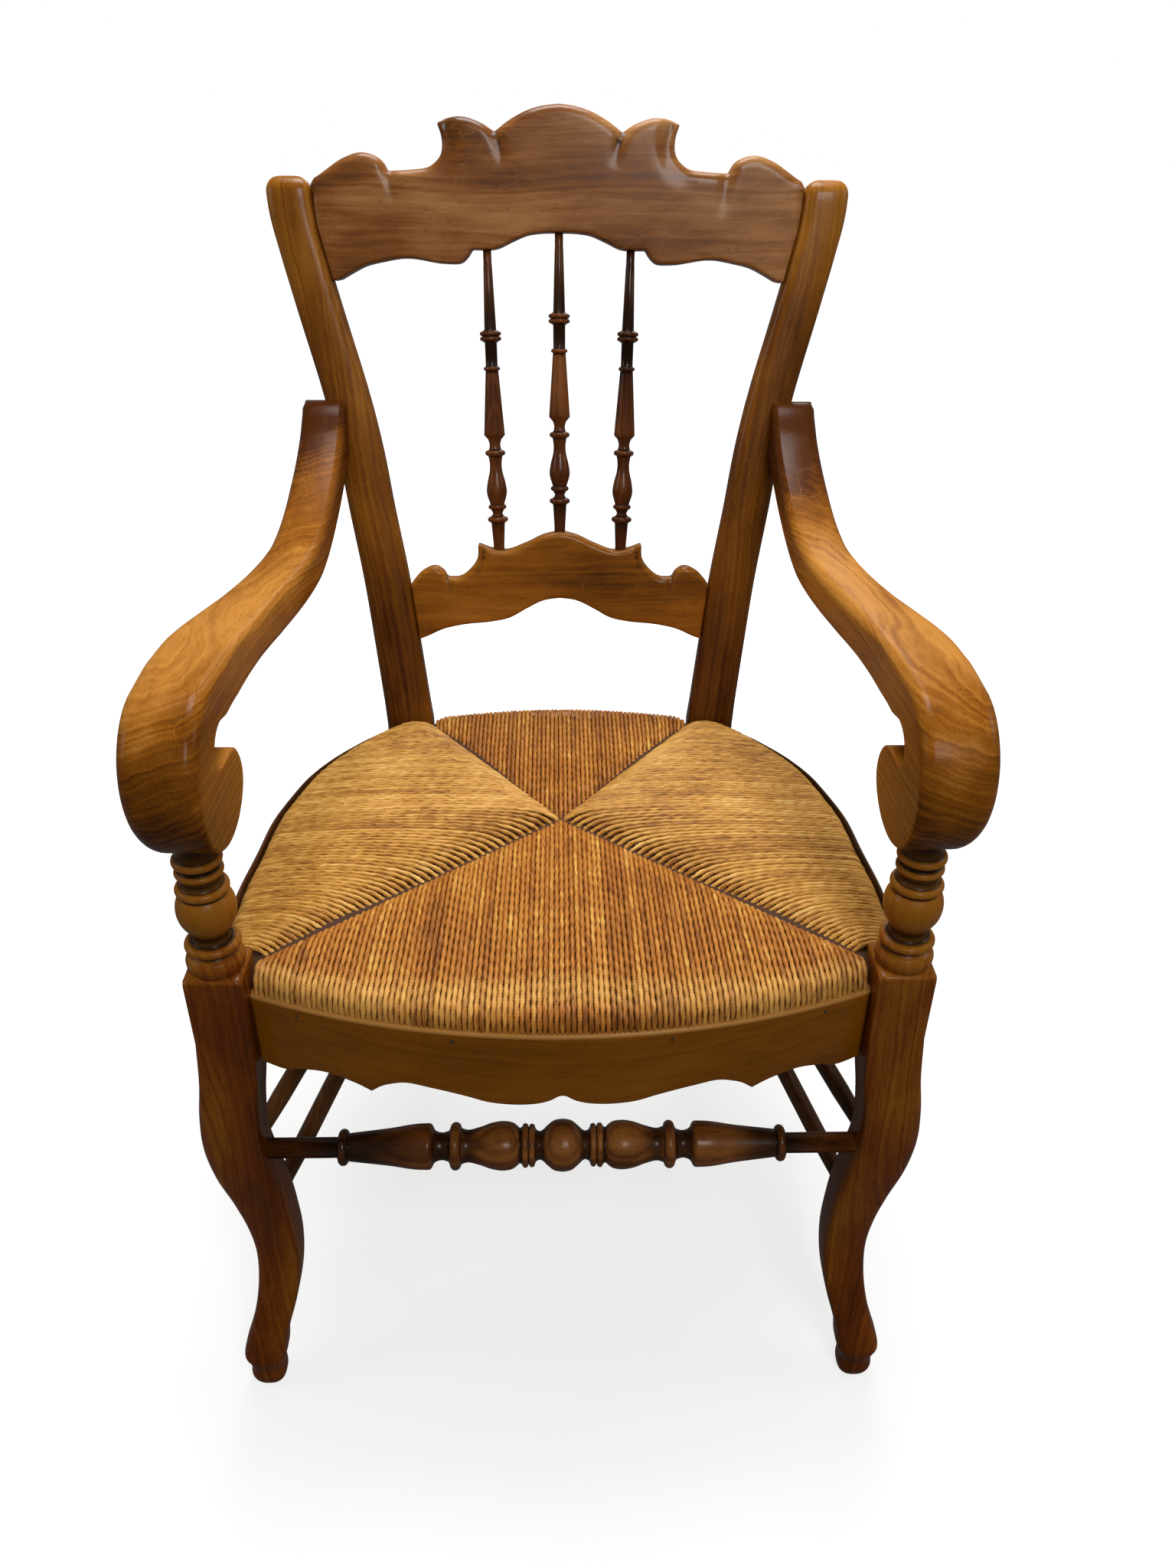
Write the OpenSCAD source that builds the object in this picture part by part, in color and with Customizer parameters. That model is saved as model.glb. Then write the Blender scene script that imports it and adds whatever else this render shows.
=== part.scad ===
// Rush-seated armchair. Cabriole front legs run up through the seat as turned supports for two
// scroll arms. Flared back posts hold a carved crest rail, a carved lower rail and three turned
// spindles. Rush is wound over four seat rails, with a bowed and scalloped apron in front.
// Millimetres, +Z up, the sitter faces -Y, and the middle of the footprint is the origin.

/* [Seat] */
// Height of the rush above the floor, at the edge of the seat
seat_h = 448; // [420:1:480]
// Front leg axis to the front faces of the back posts
seat_depth = 383; // [350:1:420]
// Centre line to the axis of a front leg
front_half = 261; // [245:1:285]
// Centre line to the axis of a back post, at the seat
back_half = 154.5; // [145:0.5:170]
// Bow of the front edge between the leg blocks
front_bow = 48; // [35:1:55]
// Bow of each side beyond the line from leg to post
side_bow = 58.5; // [40:0.5:65]
// Thickness of the wound seat at its edge
rush_t = 33; // [28:1:38]
// Rise of the rush towards the crossing of its seams
rush_crown = 6; // [0:0.5:10]
// Depth of the seams between the four panels
seam_depth = 4.5; // [0.5:0.5:6]
// Height of the seat rails inside the rush
rail_h = 20; // [16:1:22]
// Thickness of the bent strip outside the rush
band_t = 4; // [2:0.5:6]
// Height of the bent strip
band_h = 18; // [12:1:24]

/* [Front legs] */
// Side of the square block that the seat rails enter
block_w = 44; // [40:1:50]
// Height of the block
block_h = 62; // [55:1:70]
// Bottom of the turned support to the underside of the arm
support_h = 115; // [105:1:130]
// Largest diameter of the turned support
support_d = 44; // [38:1:46]
// Diameter of the dowel on top of the support
dowel_d = 16; // [12:1:20]
// Length of that dowel inside the arm
dowel_l = 24; // [15:1:30]

/* [Back] */
// Backward lean of the back, in degrees
lean = 13.3; // [8:0.1:18]
// Length of a post above the seat, along its lean
post_l = 508; // [480:1:540]
// How far each post flares outwards over that length
post_flare = 88.5; // [60:0.5:100]
// Width of a post at the seat
post_w = 47; // [42:0.5:52]
// Width of a post at its top
post_top_w = 41; // [36:0.5:46]
// Thickness of a post, front to back
post_t = 28; // [26:0.5:34]
// Backward sweep of a rear foot
foot_sweep = 32; // [10:1:50]
// Height of the crest rail from its lower corners to its top
crest_h = 146.4; // [130:0.2:160]
// Top of a post above the lower corners of the crest rail, along the back
crest_drop = 87.3; // [75:0.1:105]
// Thickness of the crest rail
crest_t = 22; // [18:0.5:24]
// Height of the lower rail from its lower corners to its top
lower_h = 106.9; // [90:0.1:120]
// Lower corners of the lower rail above the seat, along the back
lower_z = 86.3; // [60:0.1:110]
// Thickness of the lower rail
lower_t = 20; // [16:0.5:24]
// Centre line to a side spindle where it leaves the lower rail
spindle_low = 60; // [50:1:70]
// Centre line to a side spindle where it meets the crest
spindle_top = 66; // [50:1:72]
// Largest diameter of a spindle
spindle_d = 20; // [16:0.5:24]
// Length of the spindle's ends inside the rails
spindle_in = 13; // [8:1:18]

/* [Arms] */
// Radius of the scroll at the front of an arm
scroll_r = 60; // [54:1:64]
// Width of the scroll
scroll_w = 53; // [48:1:60]
// Scroll's centre forward of the front leg axis
scroll_fwd = 6; // [0:1:12]
// Rise of the arm's top from the scroll to its rear end
arm_rise = 58; // [45:1:75]
// Thickness of the arm behind the scroll
arm_t = 36; // [30:0.5:42]
// Width of the arm at its rear end
arm_end_w = 41; // [36:0.5:44]
// Length of the arm's rear end along the side of the post
arm_lap = 17; // [10:1:22]

/* [Apron] */
// Thickness of the apron
apron_t = 13; // [9:0.5:15]
// Top edge of the apron below the top of the rush
apron_drop = 17; // [12:1:24]
// Deepest height of the apron
apron_h = 74; // [60:1:84]

/* [Stretchers] */
// Height of the front stretcher above the floor
front_stretcher_z = 266.5; // [240:0.5:290]
// Largest diameter of the front stretcher
front_stretcher_d = 43; // [34:0.5:48]
// Diameter of a plain stretcher at its middle
rung_d = 17; // [14:0.5:20]
// Diameter of a plain stretcher's ends
rung_end_d = 14; // [10:0.5:14]
// Height of the upper side stretchers
upper_rung_z = 260; // [240:1:290]
// Height of the lower side stretchers
lower_rung_z = 195; // [170:1:215]
// Height of the rear stretcher
rear_rung_z = 228; // [180:1:260]
// Depth of every stretcher's end inside a leg
rung_in = 18; // [12:1:20]

/* [Fits] */
// Gap round a tenon or dowel in its hole
fit = 0.2; // [0.1:0.05:0.4]
// Gap between faces that butt
butt = 0.15; // [0.1:0.05:0.3]
// Gap between the rush and what it meets
rush_gap = 0.3; // [0.2:0.05:0.5]

/* [Hidden] */
$fn = 48;

walnut = "#5a3015";
honey = "#a8641f";
oak = "#7c4a1c";
straw = "#b98a44";
steel = "#77706a";

// Heights
block_rise = 7;
block_top = seat_h + block_rise;
block_foot = block_top - block_h;
shoulder_h = 7;
support_foot = block_top + shoulder_h;
arm_under = support_foot + support_h;
scroll_z = arm_under + scroll_r;
arm_top = scroll_z + scroll_r;
rail_top = seat_h - (rush_t - rail_h) / 2;
rail_foot = rail_top - rail_h;
apron_top = seat_h - apron_drop;
band_top = seat_h - 5;
crest_z = post_l - crest_drop;

// The bow of the apron's front face, between the leg blocks
apron_set = 7;
chord = front_half - block_w / 2;
bow_r = (chord * chord + front_bow * front_bow) / (2 * front_bow);
bow_y = bow_r - front_bow - apron_set;

// Boards of the back behind the posts' front faces
crest_set = 2;
lower_set = 4;

// Middle of the footprint, front leg axis at zero
crest_back = seat_depth +(crest_z + crest_h) * sin(lean) + (crest_set + crest_t) * cos(lean);
mid_y = (crest_back - scroll_r - scroll_fwd) / 2;

// Curves: a smooth line through points, with a kink only where two stretches are joined.
// Its pace follows the distance between points, or in a table the first value of each row
function gap_between(a, b, table) = max(table ? abs(b[0] - a[0]) : norm(b - a), 0.0001);
function tangent(p, i, table) =
    let (n = len(p) - 1,
        a = i > 0 ? gap_between(p[i - 1], p[i], table) : 1,
        b = i < n ? gap_between(p[i], p[i + 1], table) : 1)
    i == 0 ? (p[1] - p[0]) / b :
    i == n ? (p[n] - p[n - 1]) / a :
    ((p[i] - p[i - 1]) / a * b + (p[i + 1] - p[i]) / b * a) / (a + b);
function between(p, i, t, table) =
    let (d = gap_between(p[i], p[i + 1], table))
    (2 * t * t * t - 3 * t * t + 1) * p[i] + (t * t * t - 2 * t * t + t) * d * tangent(p, i, table)
    + (3 * t * t - 2 * t * t * t) * p[i + 1] + (t * t * t - t * t) * d * tangent(p, i + 1, table);
function smooth(p, n = 4, table = false) =
    concat([for (i = [0 : len(p) - 2]) for (k = [0 : n - 1]) between(p, i, k / n, table)], [p[len(p) - 1]]);
function table_of(p, n = 2) = smooth(p, n, true);
function joined(parts) =
    let (final = parts[len(parts) - 1])
    concat([for (p = parts) for (i = [0 : len(p) - 2]) p[i]], [final[len(final) - 1]]);
function backwards(p) = [for (i = [len(p) - 1 : -1 : 0]) p[i]];
function flipped(p) = [for (q = p) [-q[0], q[1]]];
function column(p, k) = [for (q = p) [q[0], q[k]]];

// Sections and lofts
function rounded_rect(w, d, r, steps = 3) =
    [for (c = [0 : 3]) for (j = [0 : steps])
        let (a = 90 * c + 90 * j / steps, sx = (c == 0 || c == 3) ? 1 : -1, sy = c < 2 ? 1 : -1)
        [sx * (w / 2 - r) + r * cos(a), sy * (d / 2 - r) + r * sin(a)]];
module loft(rings) {
    n = len(rings[0]);
    m = len(rings);
    polyhedron(
        points = [for (ring = rings) each ring],
        faces = concat(
            [[for (i = [0 : n - 1]) i]],
            [for (j = [0 : m - 2]) for (i = [0 : n - 1])
                let (a = j * n + i, b = j * n + (i + 1) % n) each [[a, a + n, b + n], [a, b + n, b]]],
            [[for (i = [n - 1 : -1 : 0]) (m - 1) * n + i]]),
        convexity = 8);
}

// Places: the chair's own frame, one side or the other, and the leaning frame of the back
module in_chair() translate([0, -mid_y, 0]) children();
module on_side(side) mirror([side < 0 ? 1 : 0, 0, 0]) children();
module in_back() translate([0, seat_depth, seat_h]) rotate([-lean, 0, 0]) children();
module board_at(y, t) translate([0, y + t, 0]) rotate([90, 0, 0]) linear_extrude(t) children();
module rod_between(a, b, d, more = 0) {
    v = b - a;
    translate(a) rotate([0, acos(v[2] / norm(v)), atan2(v[1], v[0])])
        translate([0, 0, -more]) cylinder(d = d, h = norm(v) + 2 * more);
}

// Turned profiles, as [radius, height]
function bead(z, r, h, steps = 6) =
    [for (k = [0 : steps]) let (a = -90 + 180 * k / steps) [r - h / 2 + h / 2 * cos(a), z + h / 2 * sin(a)]];
module turned(profile) {
    n = len(profile) - 1;
    rotate_extrude() polygon(concat([[0, profile[0][1]]], profile, [[0, profile[n][1]]]));
}

// Front leg: height as a share of the cabriole, shift outwards and backwards, width, depth, corner
leg_knots = table_of([
    [0, 8, -41, 22, 23, 9],
    [0.012, 8, -41.5, 28, 29, 11],
    [0.035, 8.5, -42, 31, 32, 12],
    [0.062, 8.5, -41, 31, 33, 12],
    [0.078, 8, -39.5, 33.5, 35, 12],
    [0.1, 8, -37.5, 36.5, 37, 12],
    [0.125, 6.5, -34.5, 36, 37, 11],
    [0.16, 2.5, -29, 34.5, 36, 10],
    [0.22, -4, -20, 35.5, 36, 9],
    [0.285, -8.5, -12.5, 37, 37, 9],
    [0.36, -10, -6.5, 38, 37.5, 9],
    [0.45, -7.5, -5, 40, 39.5, 9],
    [0.53, -2.5, -5, 44.5, 42, 10],
    [0.62, 5, -6.5, 49, 45, 12],
    [0.71, 9, -8, 50, 45.5, 13],
    [0.8, 7, -7, 49.5, 45, 11],
    [0.89, 2.5, -3.5, 47, 44.5, 6],
    [1, 0, 0, 44, 44, 2]]);
block_scale = block_w / 44;
function leg_at(share, k) = lookup(share, column(leg_knots, k));
function leg_ring(z, x, y, w, d, r) = [for (p = rounded_rect(w, d, r)) [x + p[0], y + p[1], z]];
module leg_body() {
    loft(concat(
        [for (k = leg_knots)
            leg_ring(k[0] * block_foot, front_half + k[1], k[2], k[3] * block_scale, k[4] * block_scale, k[5])],
        [leg_ring(block_top, front_half, 0, block_w, block_w, 2),
            leg_ring(support_foot, front_half, 0, block_w - 12, block_w - 12, 10)]));
}

// Turned arm support, from the block's top up to the underside of the arm
support_r = support_d / 2;
support_top_r = 0.36 * support_d;
function support_profile() =
    let (u = support_h / 115)
    concat(
        [[support_r - 1, -8]],
        bead(4 * u, support_r, 8 * u),
        smooth([[0.80 * support_r, 8.5 * u], [0.70 * support_r, 11 * u], [0.78 * support_r, 13 * u]]),
        bead(17 * u, 0.955 * support_r, 7 * u),
        smooth([[0.66 * support_r, 21.5 * u], [0.59 * support_r, 25 * u], [0.66 * support_r, 29 * u]]),
        smooth([[0.72 * support_r, 31 * u], [0.93 * support_r, 40 * u], [support_r, 50 * u],
            [0.93 * support_r, 58 * u], [0.78 * support_r, 63 * u]]),
        bead(68 * u, 0.9 * support_r, 7 * u),
        smooth([[0.7 * support_r, 72.5 * u], [0.64 * support_r, 75.5 * u], [0.7 * support_r, 78.5 * u]]),
        bead(83 * u, 0.81 * support_r, 6 * u),
        [[0.66 * support_r, 87 * u]],
        bead(93 * u, 0.83 * support_r, 7 * u),
        smooth([[0.68 * support_r, 97.5 * u], [0.62 * support_r, 102 * u], [support_top_r, 110 * u],
            [support_top_r, support_h + cope]]));
cope = 6;
module arm_support() {
    difference() {
        translate([front_half, 0, support_foot]) turned(support_profile());
        scroll_cutter(butt);
    }
    translate([front_half, 0, arm_under - cope]) cylinder(d = dowel_d, h = dowel_l + cope);
}
module scroll_cutter(gap) {
    translate([front_half - scroll_w, -scroll_fwd, scroll_z]) rotate([0, 90, 0])
        cylinder(r = scroll_r + gap, h = 2 * scroll_w, $fn = 96);
}

// Stretcher places
function leg_x(z) = front_half + leg_at(z / block_foot, 1);
function leg_y(z) = leg_at(z / block_foot, 2);
function leg_back(z) = leg_y(z) + leg_at(z / block_foot, 4) * block_scale / 2;
function leg_inner(z) = leg_x(z) - leg_at(z / block_foot, 3) * block_scale / 2;
rung_slip = 7;
function side_rung_ends(z) =
    let (front = [leg_x(z) - rung_slip, leg_back(z) - rung_in, z],
        rear = [foot_x(z), foot_y(z) - post_t / 2 + rung_in, z])
    [front, rear];
stretcher_y = -12;
stretcher_half = leg_inner(front_stretcher_z) + rung_in;

module front_leg(side) {
    color(walnut) in_chair() on_side(side) difference() {
        union() {
            leg_body();
            arm_support();
        }
        translate([0, stretcher_y, front_stretcher_z]) rotate([0, 90, 0])
            cylinder(d = rung_d + 2 * fit, h = stretcher_half + fit);
        for (z = [upper_rung_z, lower_rung_z]) side_rung_hole(z);
        front_rail_tenon(fit);
        side_rail_tenons(fit);
        apron_tenon(fit);
    }
}
module side_rung_hole(z) {
    ends = side_rung_ends(z);
    rod_between(ends[0], ends[1], rung_end_d + 2 * fit, fit);
}

// Back post: rear leg below the seat, then a flared stile in the leaning frame of the back
post_line = table_of([[0, 0], [0.145, 0.096], [0.29, 0.198], [0.43, 0.328], [0.53, 0.412],
    [0.61, 0.503], [0.784, 0.763], [0.873, 0.893], [0.938, 0.977], [1, 1.005]]);
function post_share(s) = lookup(s / post_l, post_line);
function post_x(s) = back_half + post_flare * post_share(s);
function post_width(s) = post_w + (post_top_w - post_w) * s / post_l;
function post_inner(s) = post_x(s) - post_width(s) / 2;
foot_splay = 5.5;
foot_line = table_of([[0, 1], [0.3, 0.62], [0.6, 0.24], [0.87, 0.02], [1, 0]]);
foot_top = block_foot - 3;
foot_w = 33;
foot_edge = 4;
stile_edge = 7;
function foot_share(z) = lookup(z / foot_top, foot_line);
function foot_x(z) = back_half + foot_splay * foot_share(z);
function foot_y(z) = seat_depth + post_t / 2 + foot_sweep * foot_share(z);
function foot_width(z) = post_w + (foot_w - post_w) * foot_share(z);
function leaned(p) = [p[0], seat_depth + p[1] * cos(lean) + p[2] * sin(lean),
    seat_h - p[1] * sin(lean) + p[2] * cos(lean)];
function stile_ring(s, shrink, grow) =
    [for (p = rounded_rect(post_width(s) - 2 * shrink + 2 * grow, post_t - 2 * shrink + 2 * grow, stile_edge))
        leaned([post_x(s) + p[0], post_t / 2 + p[1], s])];
function foot_ring(z, h) =
    [for (p = rounded_rect(foot_width(z), post_t, foot_edge)) [foot_x(z) + p[0], foot_y(z) + p[1], h]];
stile_steps = [for (k = post_line) k[0] * (post_l - stile_edge)];
module post_body() {
    loft(concat(
        [for (k = foot_line) foot_ring(k[0] * foot_top, k[0] * foot_top)],
        [foot_ring(foot_top, seat_h)],
        [for (i = [1 : len(stile_steps) - 1]) stile_ring(stile_steps[i], 0, 0)],
        [stile_ring(post_l - 0.4 * stile_edge, 0.25 * stile_edge, 0),
            stile_ring(post_l, 0.8 * stile_edge, 0)]));
}

// Short length of the post, grown by a gap, that the arm is notched for
arm_s = (arm_top + arm_rise - arm_t - seat_h) / cos(lean);
module post_at_arm(gap) {
    loft([for (k = [-2 : 2]) stile_ring(arm_s + k * arm_t, 0, gap)]);
}
module back_post(side) {
    color(honey) in_chair() on_side(side) difference() {
        post_body();
        in_back() crest_tenon(fit);
        in_back() lower_tenon(fit);
        for (z = [upper_rung_z, lower_rung_z]) side_rung_hole(z);
        rear_rung(fit);
        rear_rail_tenon(fit);
        side_rail_tenons(fit);
        arm_screw(fit / 2);
        crest_peg(fit / 2);
    }
}

// Carved boards of the back: outlines as [share of the half span, share of the height]
crest_half = post_inner(crest_z + 0.55 * crest_h);
crest_top_parts = [
    [[0, 1], [0.061, 0.989], [0.12, 0.965], [0.184, 0.92], [0.257, 0.846]],
    [[0.257, 0.846], [0.307, 0.891], [0.391, 0.926], [0.45, 0.912], [0.484, 0.884]],
    [[0.484, 0.884], [0.47, 0.818], [0.482, 0.698], [0.523, 0.649], [0.6, 0.632], [0.686, 0.625]],
    [[0.686, 0.625], [0.72, 0.695], [0.791, 0.726], [0.864, 0.695], [0.93, 0.635], [0.985, 0.578]]];
crest_low_parts = [
    [[0, 0.284], [0.068, 0.282], [0.127, 0.27], [0.191, 0.232], [0.257, 0.189], [0.357, 0.184]],
    [[0.357, 0.184], [0.373, 0.145], [0.405, 0.106], [0.455, 0.102], [0.641, 0.133], [0.727, 0.112],
        [0.795, 0.088], [0.85, 0.049], [0.9, 0.008]]];
lower_half = post_inner(lower_z + 0.5 * lower_h);
lower_top_parts = [
    [[0, 1], [0.097, 0.971], [0.228, 0.889], [0.366, 0.827], [0.448, 0.841], [0.541, 0.88]],
    [[0.541, 0.88], [0.55, 0.75], [0.59, 0.663], [0.679, 0.577], [0.752, 0.577]],
    [[0.752, 0.577], [0.78, 0.64], [0.831, 0.678], [0.917, 0.635], [0.975, 0.555]]];
lower_low_parts = [
    [[0, 0.385], [0.103, 0.365], [0.228, 0.284], [0.345, 0.197], [0.462, 0.163], [0.655, 0.135],
        [0.793, 0.091], [0.89, 0.03]]];
function scaled(parts, half, foot, h) =
    joined([for (p = parts) smooth([for (q = p) [q[0] * half, foot + q[1] * h]], 3)]);
function half_board(low, top, half, foot, h) =
    let (lower = scaled(low, half, foot, h), upper = scaled(top, half, foot, h),
        s0 = foot, s1 = upper[len(upper) - 1][1] - 5)
    concat(lower, [for (k = [0 : 4]) let (s = s0 + (s1 - s0) * k / 4) [post_inner(s) - butt, s]],
        backwards(upper));
module board_outline(low, top, half, foot, h) {
    right = half_board(low, top, half, foot, h);
    left = backwards(flipped(right));
    polygon(concat(right, [for (i = [1 : len(left) - 2]) left[i]]));
}

tenon_t = 10;
tenon_l = 20;
crest_tenon_s = crest_z + 0.12 * crest_h;
module crest_tenon(gap) tenon_bar(crest_tenon_s, 0.35 * crest_h, crest_set + crest_t / 2, gap);
module lower_tenon(gap) tenon_bar(lower_z + 0.1 * lower_h, 0.34 * lower_h, lower_set + lower_t / 2, gap);
// A tongue at each end of a board, from inside the board into the post
module tenon_bar(s, h, y, gap) {
    for (side = [-1, 1]) on_side(side)
        translate([post_inner(s) - tenon_l, y - tenon_t / 2 - gap, s - gap])
            cube([2 * tenon_l + gap, tenon_t + 2 * gap, h + 2 * gap]);
}
module crest_rail() {
    color(walnut) in_chair() difference() {
        in_back() difference() {
            union() {
                board_at(crest_set, crest_t)
                    board_outline(crest_low_parts, crest_top_parts, crest_half, crest_z, crest_h);
                crest_tenon(0);
            }
            for (side = [-1, 0, 1]) spindle_hole(side);
        }
        for (side = [-1, 1]) on_side(side) crest_peg(fit / 2);
    }
}
module lower_back_rail() {
    color(honey) in_chair() in_back() difference() {
        union() {
            board_at(lower_set, lower_t)
                board_outline(lower_low_parts, lower_top_parts, lower_half, lower_z, lower_h);
            lower_tenon(0);
        }
        for (side = [-1, 0, 1]) spindle_hole(side);
    }
}

// Spindles: side -1, 0 or 1; the middle one stands higher, as both rails rise there
spindle_y = 13;
function board_edge(parts, half, foot, h, x) =
    let (line = scaled(parts, half, foot, h)) lookup(x, line);
function spindle_foot(side) =
    board_edge([lower_top_parts[0]], lower_half, lower_z, lower_h, abs(side) * spindle_low);
function spindle_head(side) =
    board_edge([crest_low_parts[0]], crest_half, crest_z, crest_h, abs(side) * spindle_top);
module spindle_frame(side) {
    rise = spindle_head(side) - spindle_foot(side);
    translate([side * spindle_low, spindle_y, spindle_foot(side)])
        rotate([0, side * atan((spindle_top - spindle_low) / rise), 0]) children();
}
spindle_top_r = 3.8;
spindle_foot_r = 5.4;
module spindle_hole(side) {
    rise = spindle_head(side) - spindle_foot(side);
    spindle_frame(side) {
        translate([0, 0, -spindle_in - fit]) cylinder(r = spindle_foot_r + fit, h = spindle_in + 12);
        translate([0, 0, rise - 12]) cylinder(r = spindle_top_r + fit, h = spindle_in + 12 + fit);
    }
}
module spindle(side) {
    rise = spindle_head(side) - spindle_foot(side);
    r = spindle_d / 2;
    u = rise / 272;
    profile = concat(
        [[spindle_foot_r, -spindle_in], [spindle_foot_r, 4 * u], [0.66 * r, 25 * u]],
        bead(29 * u, r, 5 * u),
        smooth([[0.6 * r, 32.5 * u], [0.48 * r, 35 * u], [0.6 * r, 37.5 * u]]),
        bead(41 * u, 0.88 * r, 4.5 * u),
        smooth([[0.7 * r, 44 * u], [0.985 * r, 55 * u], [0.86 * r, 65 * u], [0.62 * r, 75 * u],
            [0.58 * r, 82 * u], [0.66 * r, 88 * u]]),
        bead(92 * u, 0.975 * r, 5 * u),
        smooth([[0.58 * r, 95.5 * u], [0.52 * r, 100 * u], [0.64 * r, 104.5 * u]]),
        [[r, 108.5 * u], [0.62 * r, 166 * u]],
        bead(169 * u, 0.78 * r, 3.5 * u),
        [[0.56 * r, 172 * u], [0.57 * r, 192 * u]],
        bead(195.5 * u, r, 4 * u),
        bead(200 * u, r, 4 * u),
        [[0.56 * r, 203.5 * u], [spindle_top_r + 0.2, rise - 14], [spindle_top_r, rise - 12],
            [spindle_top_r, rise + spindle_in]]);
    color(walnut) in_chair() in_back() spindle_frame(side) turned(profile);
}

// Arm: share of the way back from the scroll, share of the inward sweep, width, top above the
// scroll's top as a share of the rise, thickness
arm_knots = table_of([
    [0, 0, 53, 0, 40],
    [0.08, -0.03, 56, -0.02, 38],
    [0.19, -0.03, 59, -0.1, 38],
    [0.28, 0.1, 56, -0.19, 37],
    [0.37, 0.34, 50, -0.235, 36],
    [0.49, 0.68, 46, -0.245, 35],
    [0.6, 0.87, 43.5, -0.19, 35],
    [0.77, 0.95, 43, 0.17, 37],
    [0.89, 0.98, 42, 0.62, 44],
    [0.955, 1, 41, 1, 54],
    [1, 1, 41, 0.95, 48]]);
arm_front_x = front_half - 4.5;
arm_rear_x = post_x(arm_s) + 28;
arm_front_y = -scroll_fwd;
arm_rear_y = seat_depth + (arm_top + arm_rise - arm_t / 2 - seat_h) * tan(lean) + arm_lap;
arm_round = 12;
function arm_section(w, t) = rounded_rect(t, w, min(arm_round, t / 2 - 2));
// Section in an upright plane: outer face of the section first, top edge at z
function arm_ring(k) =
    let (y = arm_front_y + k[0] * (arm_rear_y - arm_front_y),
        x = arm_front_x + k[1] * (arm_rear_x - arm_front_x),
        w = k[2] * (k[0] < 0.3 ? scroll_w / 53 : k[0] > 0.7 ? arm_end_w / 41 : 1),
        t = k[4] * arm_t / 36, z = arm_top + k[3] * arm_rise - t / 2)
    [for (p = arm_section(w, t)) [x + p[1], y, z + p[0]]];
// Scroll: angle from straight back, radius of the rim and of the core as shares of the scroll's.
// The scroll's tip turns up towards the arm's underside and leaves a narrow pocket below it
scroll_knots = [[90, 1, 0.35], [130, 1, 0.28], [180, 1, 0.14], [270, 1, 0.08], [298, 1.03, 0.07],
    [322, 1.1, 0.07], [334, 1, 0.07], [345, 0.74, 0.07], [362, 0.42, 0.07]];
scroll_eye = [0.05, -0.15, 0.2];
function scroll_ring(a) =
    let (rim = lookup(a, column(scroll_knots, 1)) * scroll_r,
        core = lookup(a, column(scroll_knots, 2)) * scroll_r,
        mid = (rim + core) / 2)
    [for (p = arm_section(scroll_w, rim - core))
        [arm_front_x + p[1], arm_front_y + (mid + p[0]) * cos(a), scroll_z + (mid + p[0]) * sin(a)]];
module arm_body() {
    loft(concat(
        [for (a = [362, 354, 345, 339, 334, 328]) scroll_ring(a)],
        [for (a = [322 : -16 : 98]) scroll_ring(a)],
        [for (k = arm_knots) arm_ring(k)]));
    translate([arm_front_x - scroll_w / 2, arm_front_y, scroll_z])
        translate([0, scroll_eye[0] * scroll_r, scroll_eye[1] * scroll_r])
        rotate([0, 90, 0]) cylinder(r = scroll_eye[2] * scroll_r, h = scroll_w);
}
module arm(side) {
    color(honey) in_chair() on_side(side) difference() {
        arm_body();
        post_at_arm(butt);
        translate([front_half, 0, arm_under - 1]) cylinder(d = dowel_d + 2 * fit, h = dowel_l + 1 + fit);
        arm_screw(fit / 2);
    }
}

// Screw through the lap at the arm's rear end, from outside into the post
screw_d = 5;
screw_l = 34;
screw_head_d = 9;
screw_head_h = 4;
screw_sink = 1;
module arm_screw(gap) {
    z = arm_top + arm_rise - 0.75 * arm_t;
    y = seat_depth + (z - seat_h) * tan(lean) + arm_lap / 2 + 1;
    top = arm_rear_x + arm_end_w / 2 - screw_sink;
    clear = gap > 0 ? 2 * screw_head_h : 0;
    translate([top - screw_l, y, z]) rotate([0, 90, 0]) cylinder(d = screw_d + 2 * gap, h = screw_l);
    translate([top - screw_head_h, y, z]) rotate([0, 90, 0])
        cylinder(d = screw_head_d + 2 * gap, h = screw_head_h + clear);
}

// Peg through the post's back and the crest's tenon, short of the front face
peg_d = 6;
peg_out = 0.5;
peg_cover = 4;
module crest_peg(gap) {
    in_back() translate([post_inner(crest_tenon_s) + 0.65 * tenon_l, post_t + peg_out, crest_z + 0.3 * crest_h])
        rotate([90, 0, 0]) cylinder(d = peg_d + 2 * gap, h = post_t + peg_out - peg_cover);
}

// Outline of the rush, corner to corner, anticlockwise seen from above
cross_y = 0.548 * seat_depth;
front_corner = [chord + 6, block_w / 4];
rear_corner = [back_half - post_w / 2 + 7, seat_depth + post_t / 2 - 0.5];
side_knots = table_of([for (k = [[0.029, -0.22], [0.08, 0.16], [0.235, 0.547], [0.431, 0.81], [0.564, 0.974],
    [0.653, 1], [0.773, 0.962], [0.89, 0.7], [0.974, 0.337], [1.035, -0.22]])
    [k[0] * seat_depth, front_half + (back_half - front_half) * k[0] + k[1] * side_bow]], 4);
function side_x(y) = lookup(y, side_knots);
rush_set = 1.5;
function front_edge(x) = bow_y - sqrt(pow(bow_r - rush_set, 2) - x * x);
rear_bow = 13.5;
rear_r = (rear_corner[0] * rear_corner[0] + rear_bow * rear_bow) / (2 * rear_bow);
function rear_edge(x) = rear_corner[1] + rear_bow - rear_r + sqrt(rear_r * rear_r - x * x);
shares = [0, 0.03, 0.08, 0.16, 0.27, 0.4, 0.5, 0.6, 0.73, 0.84, 0.92, 0.97];
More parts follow.
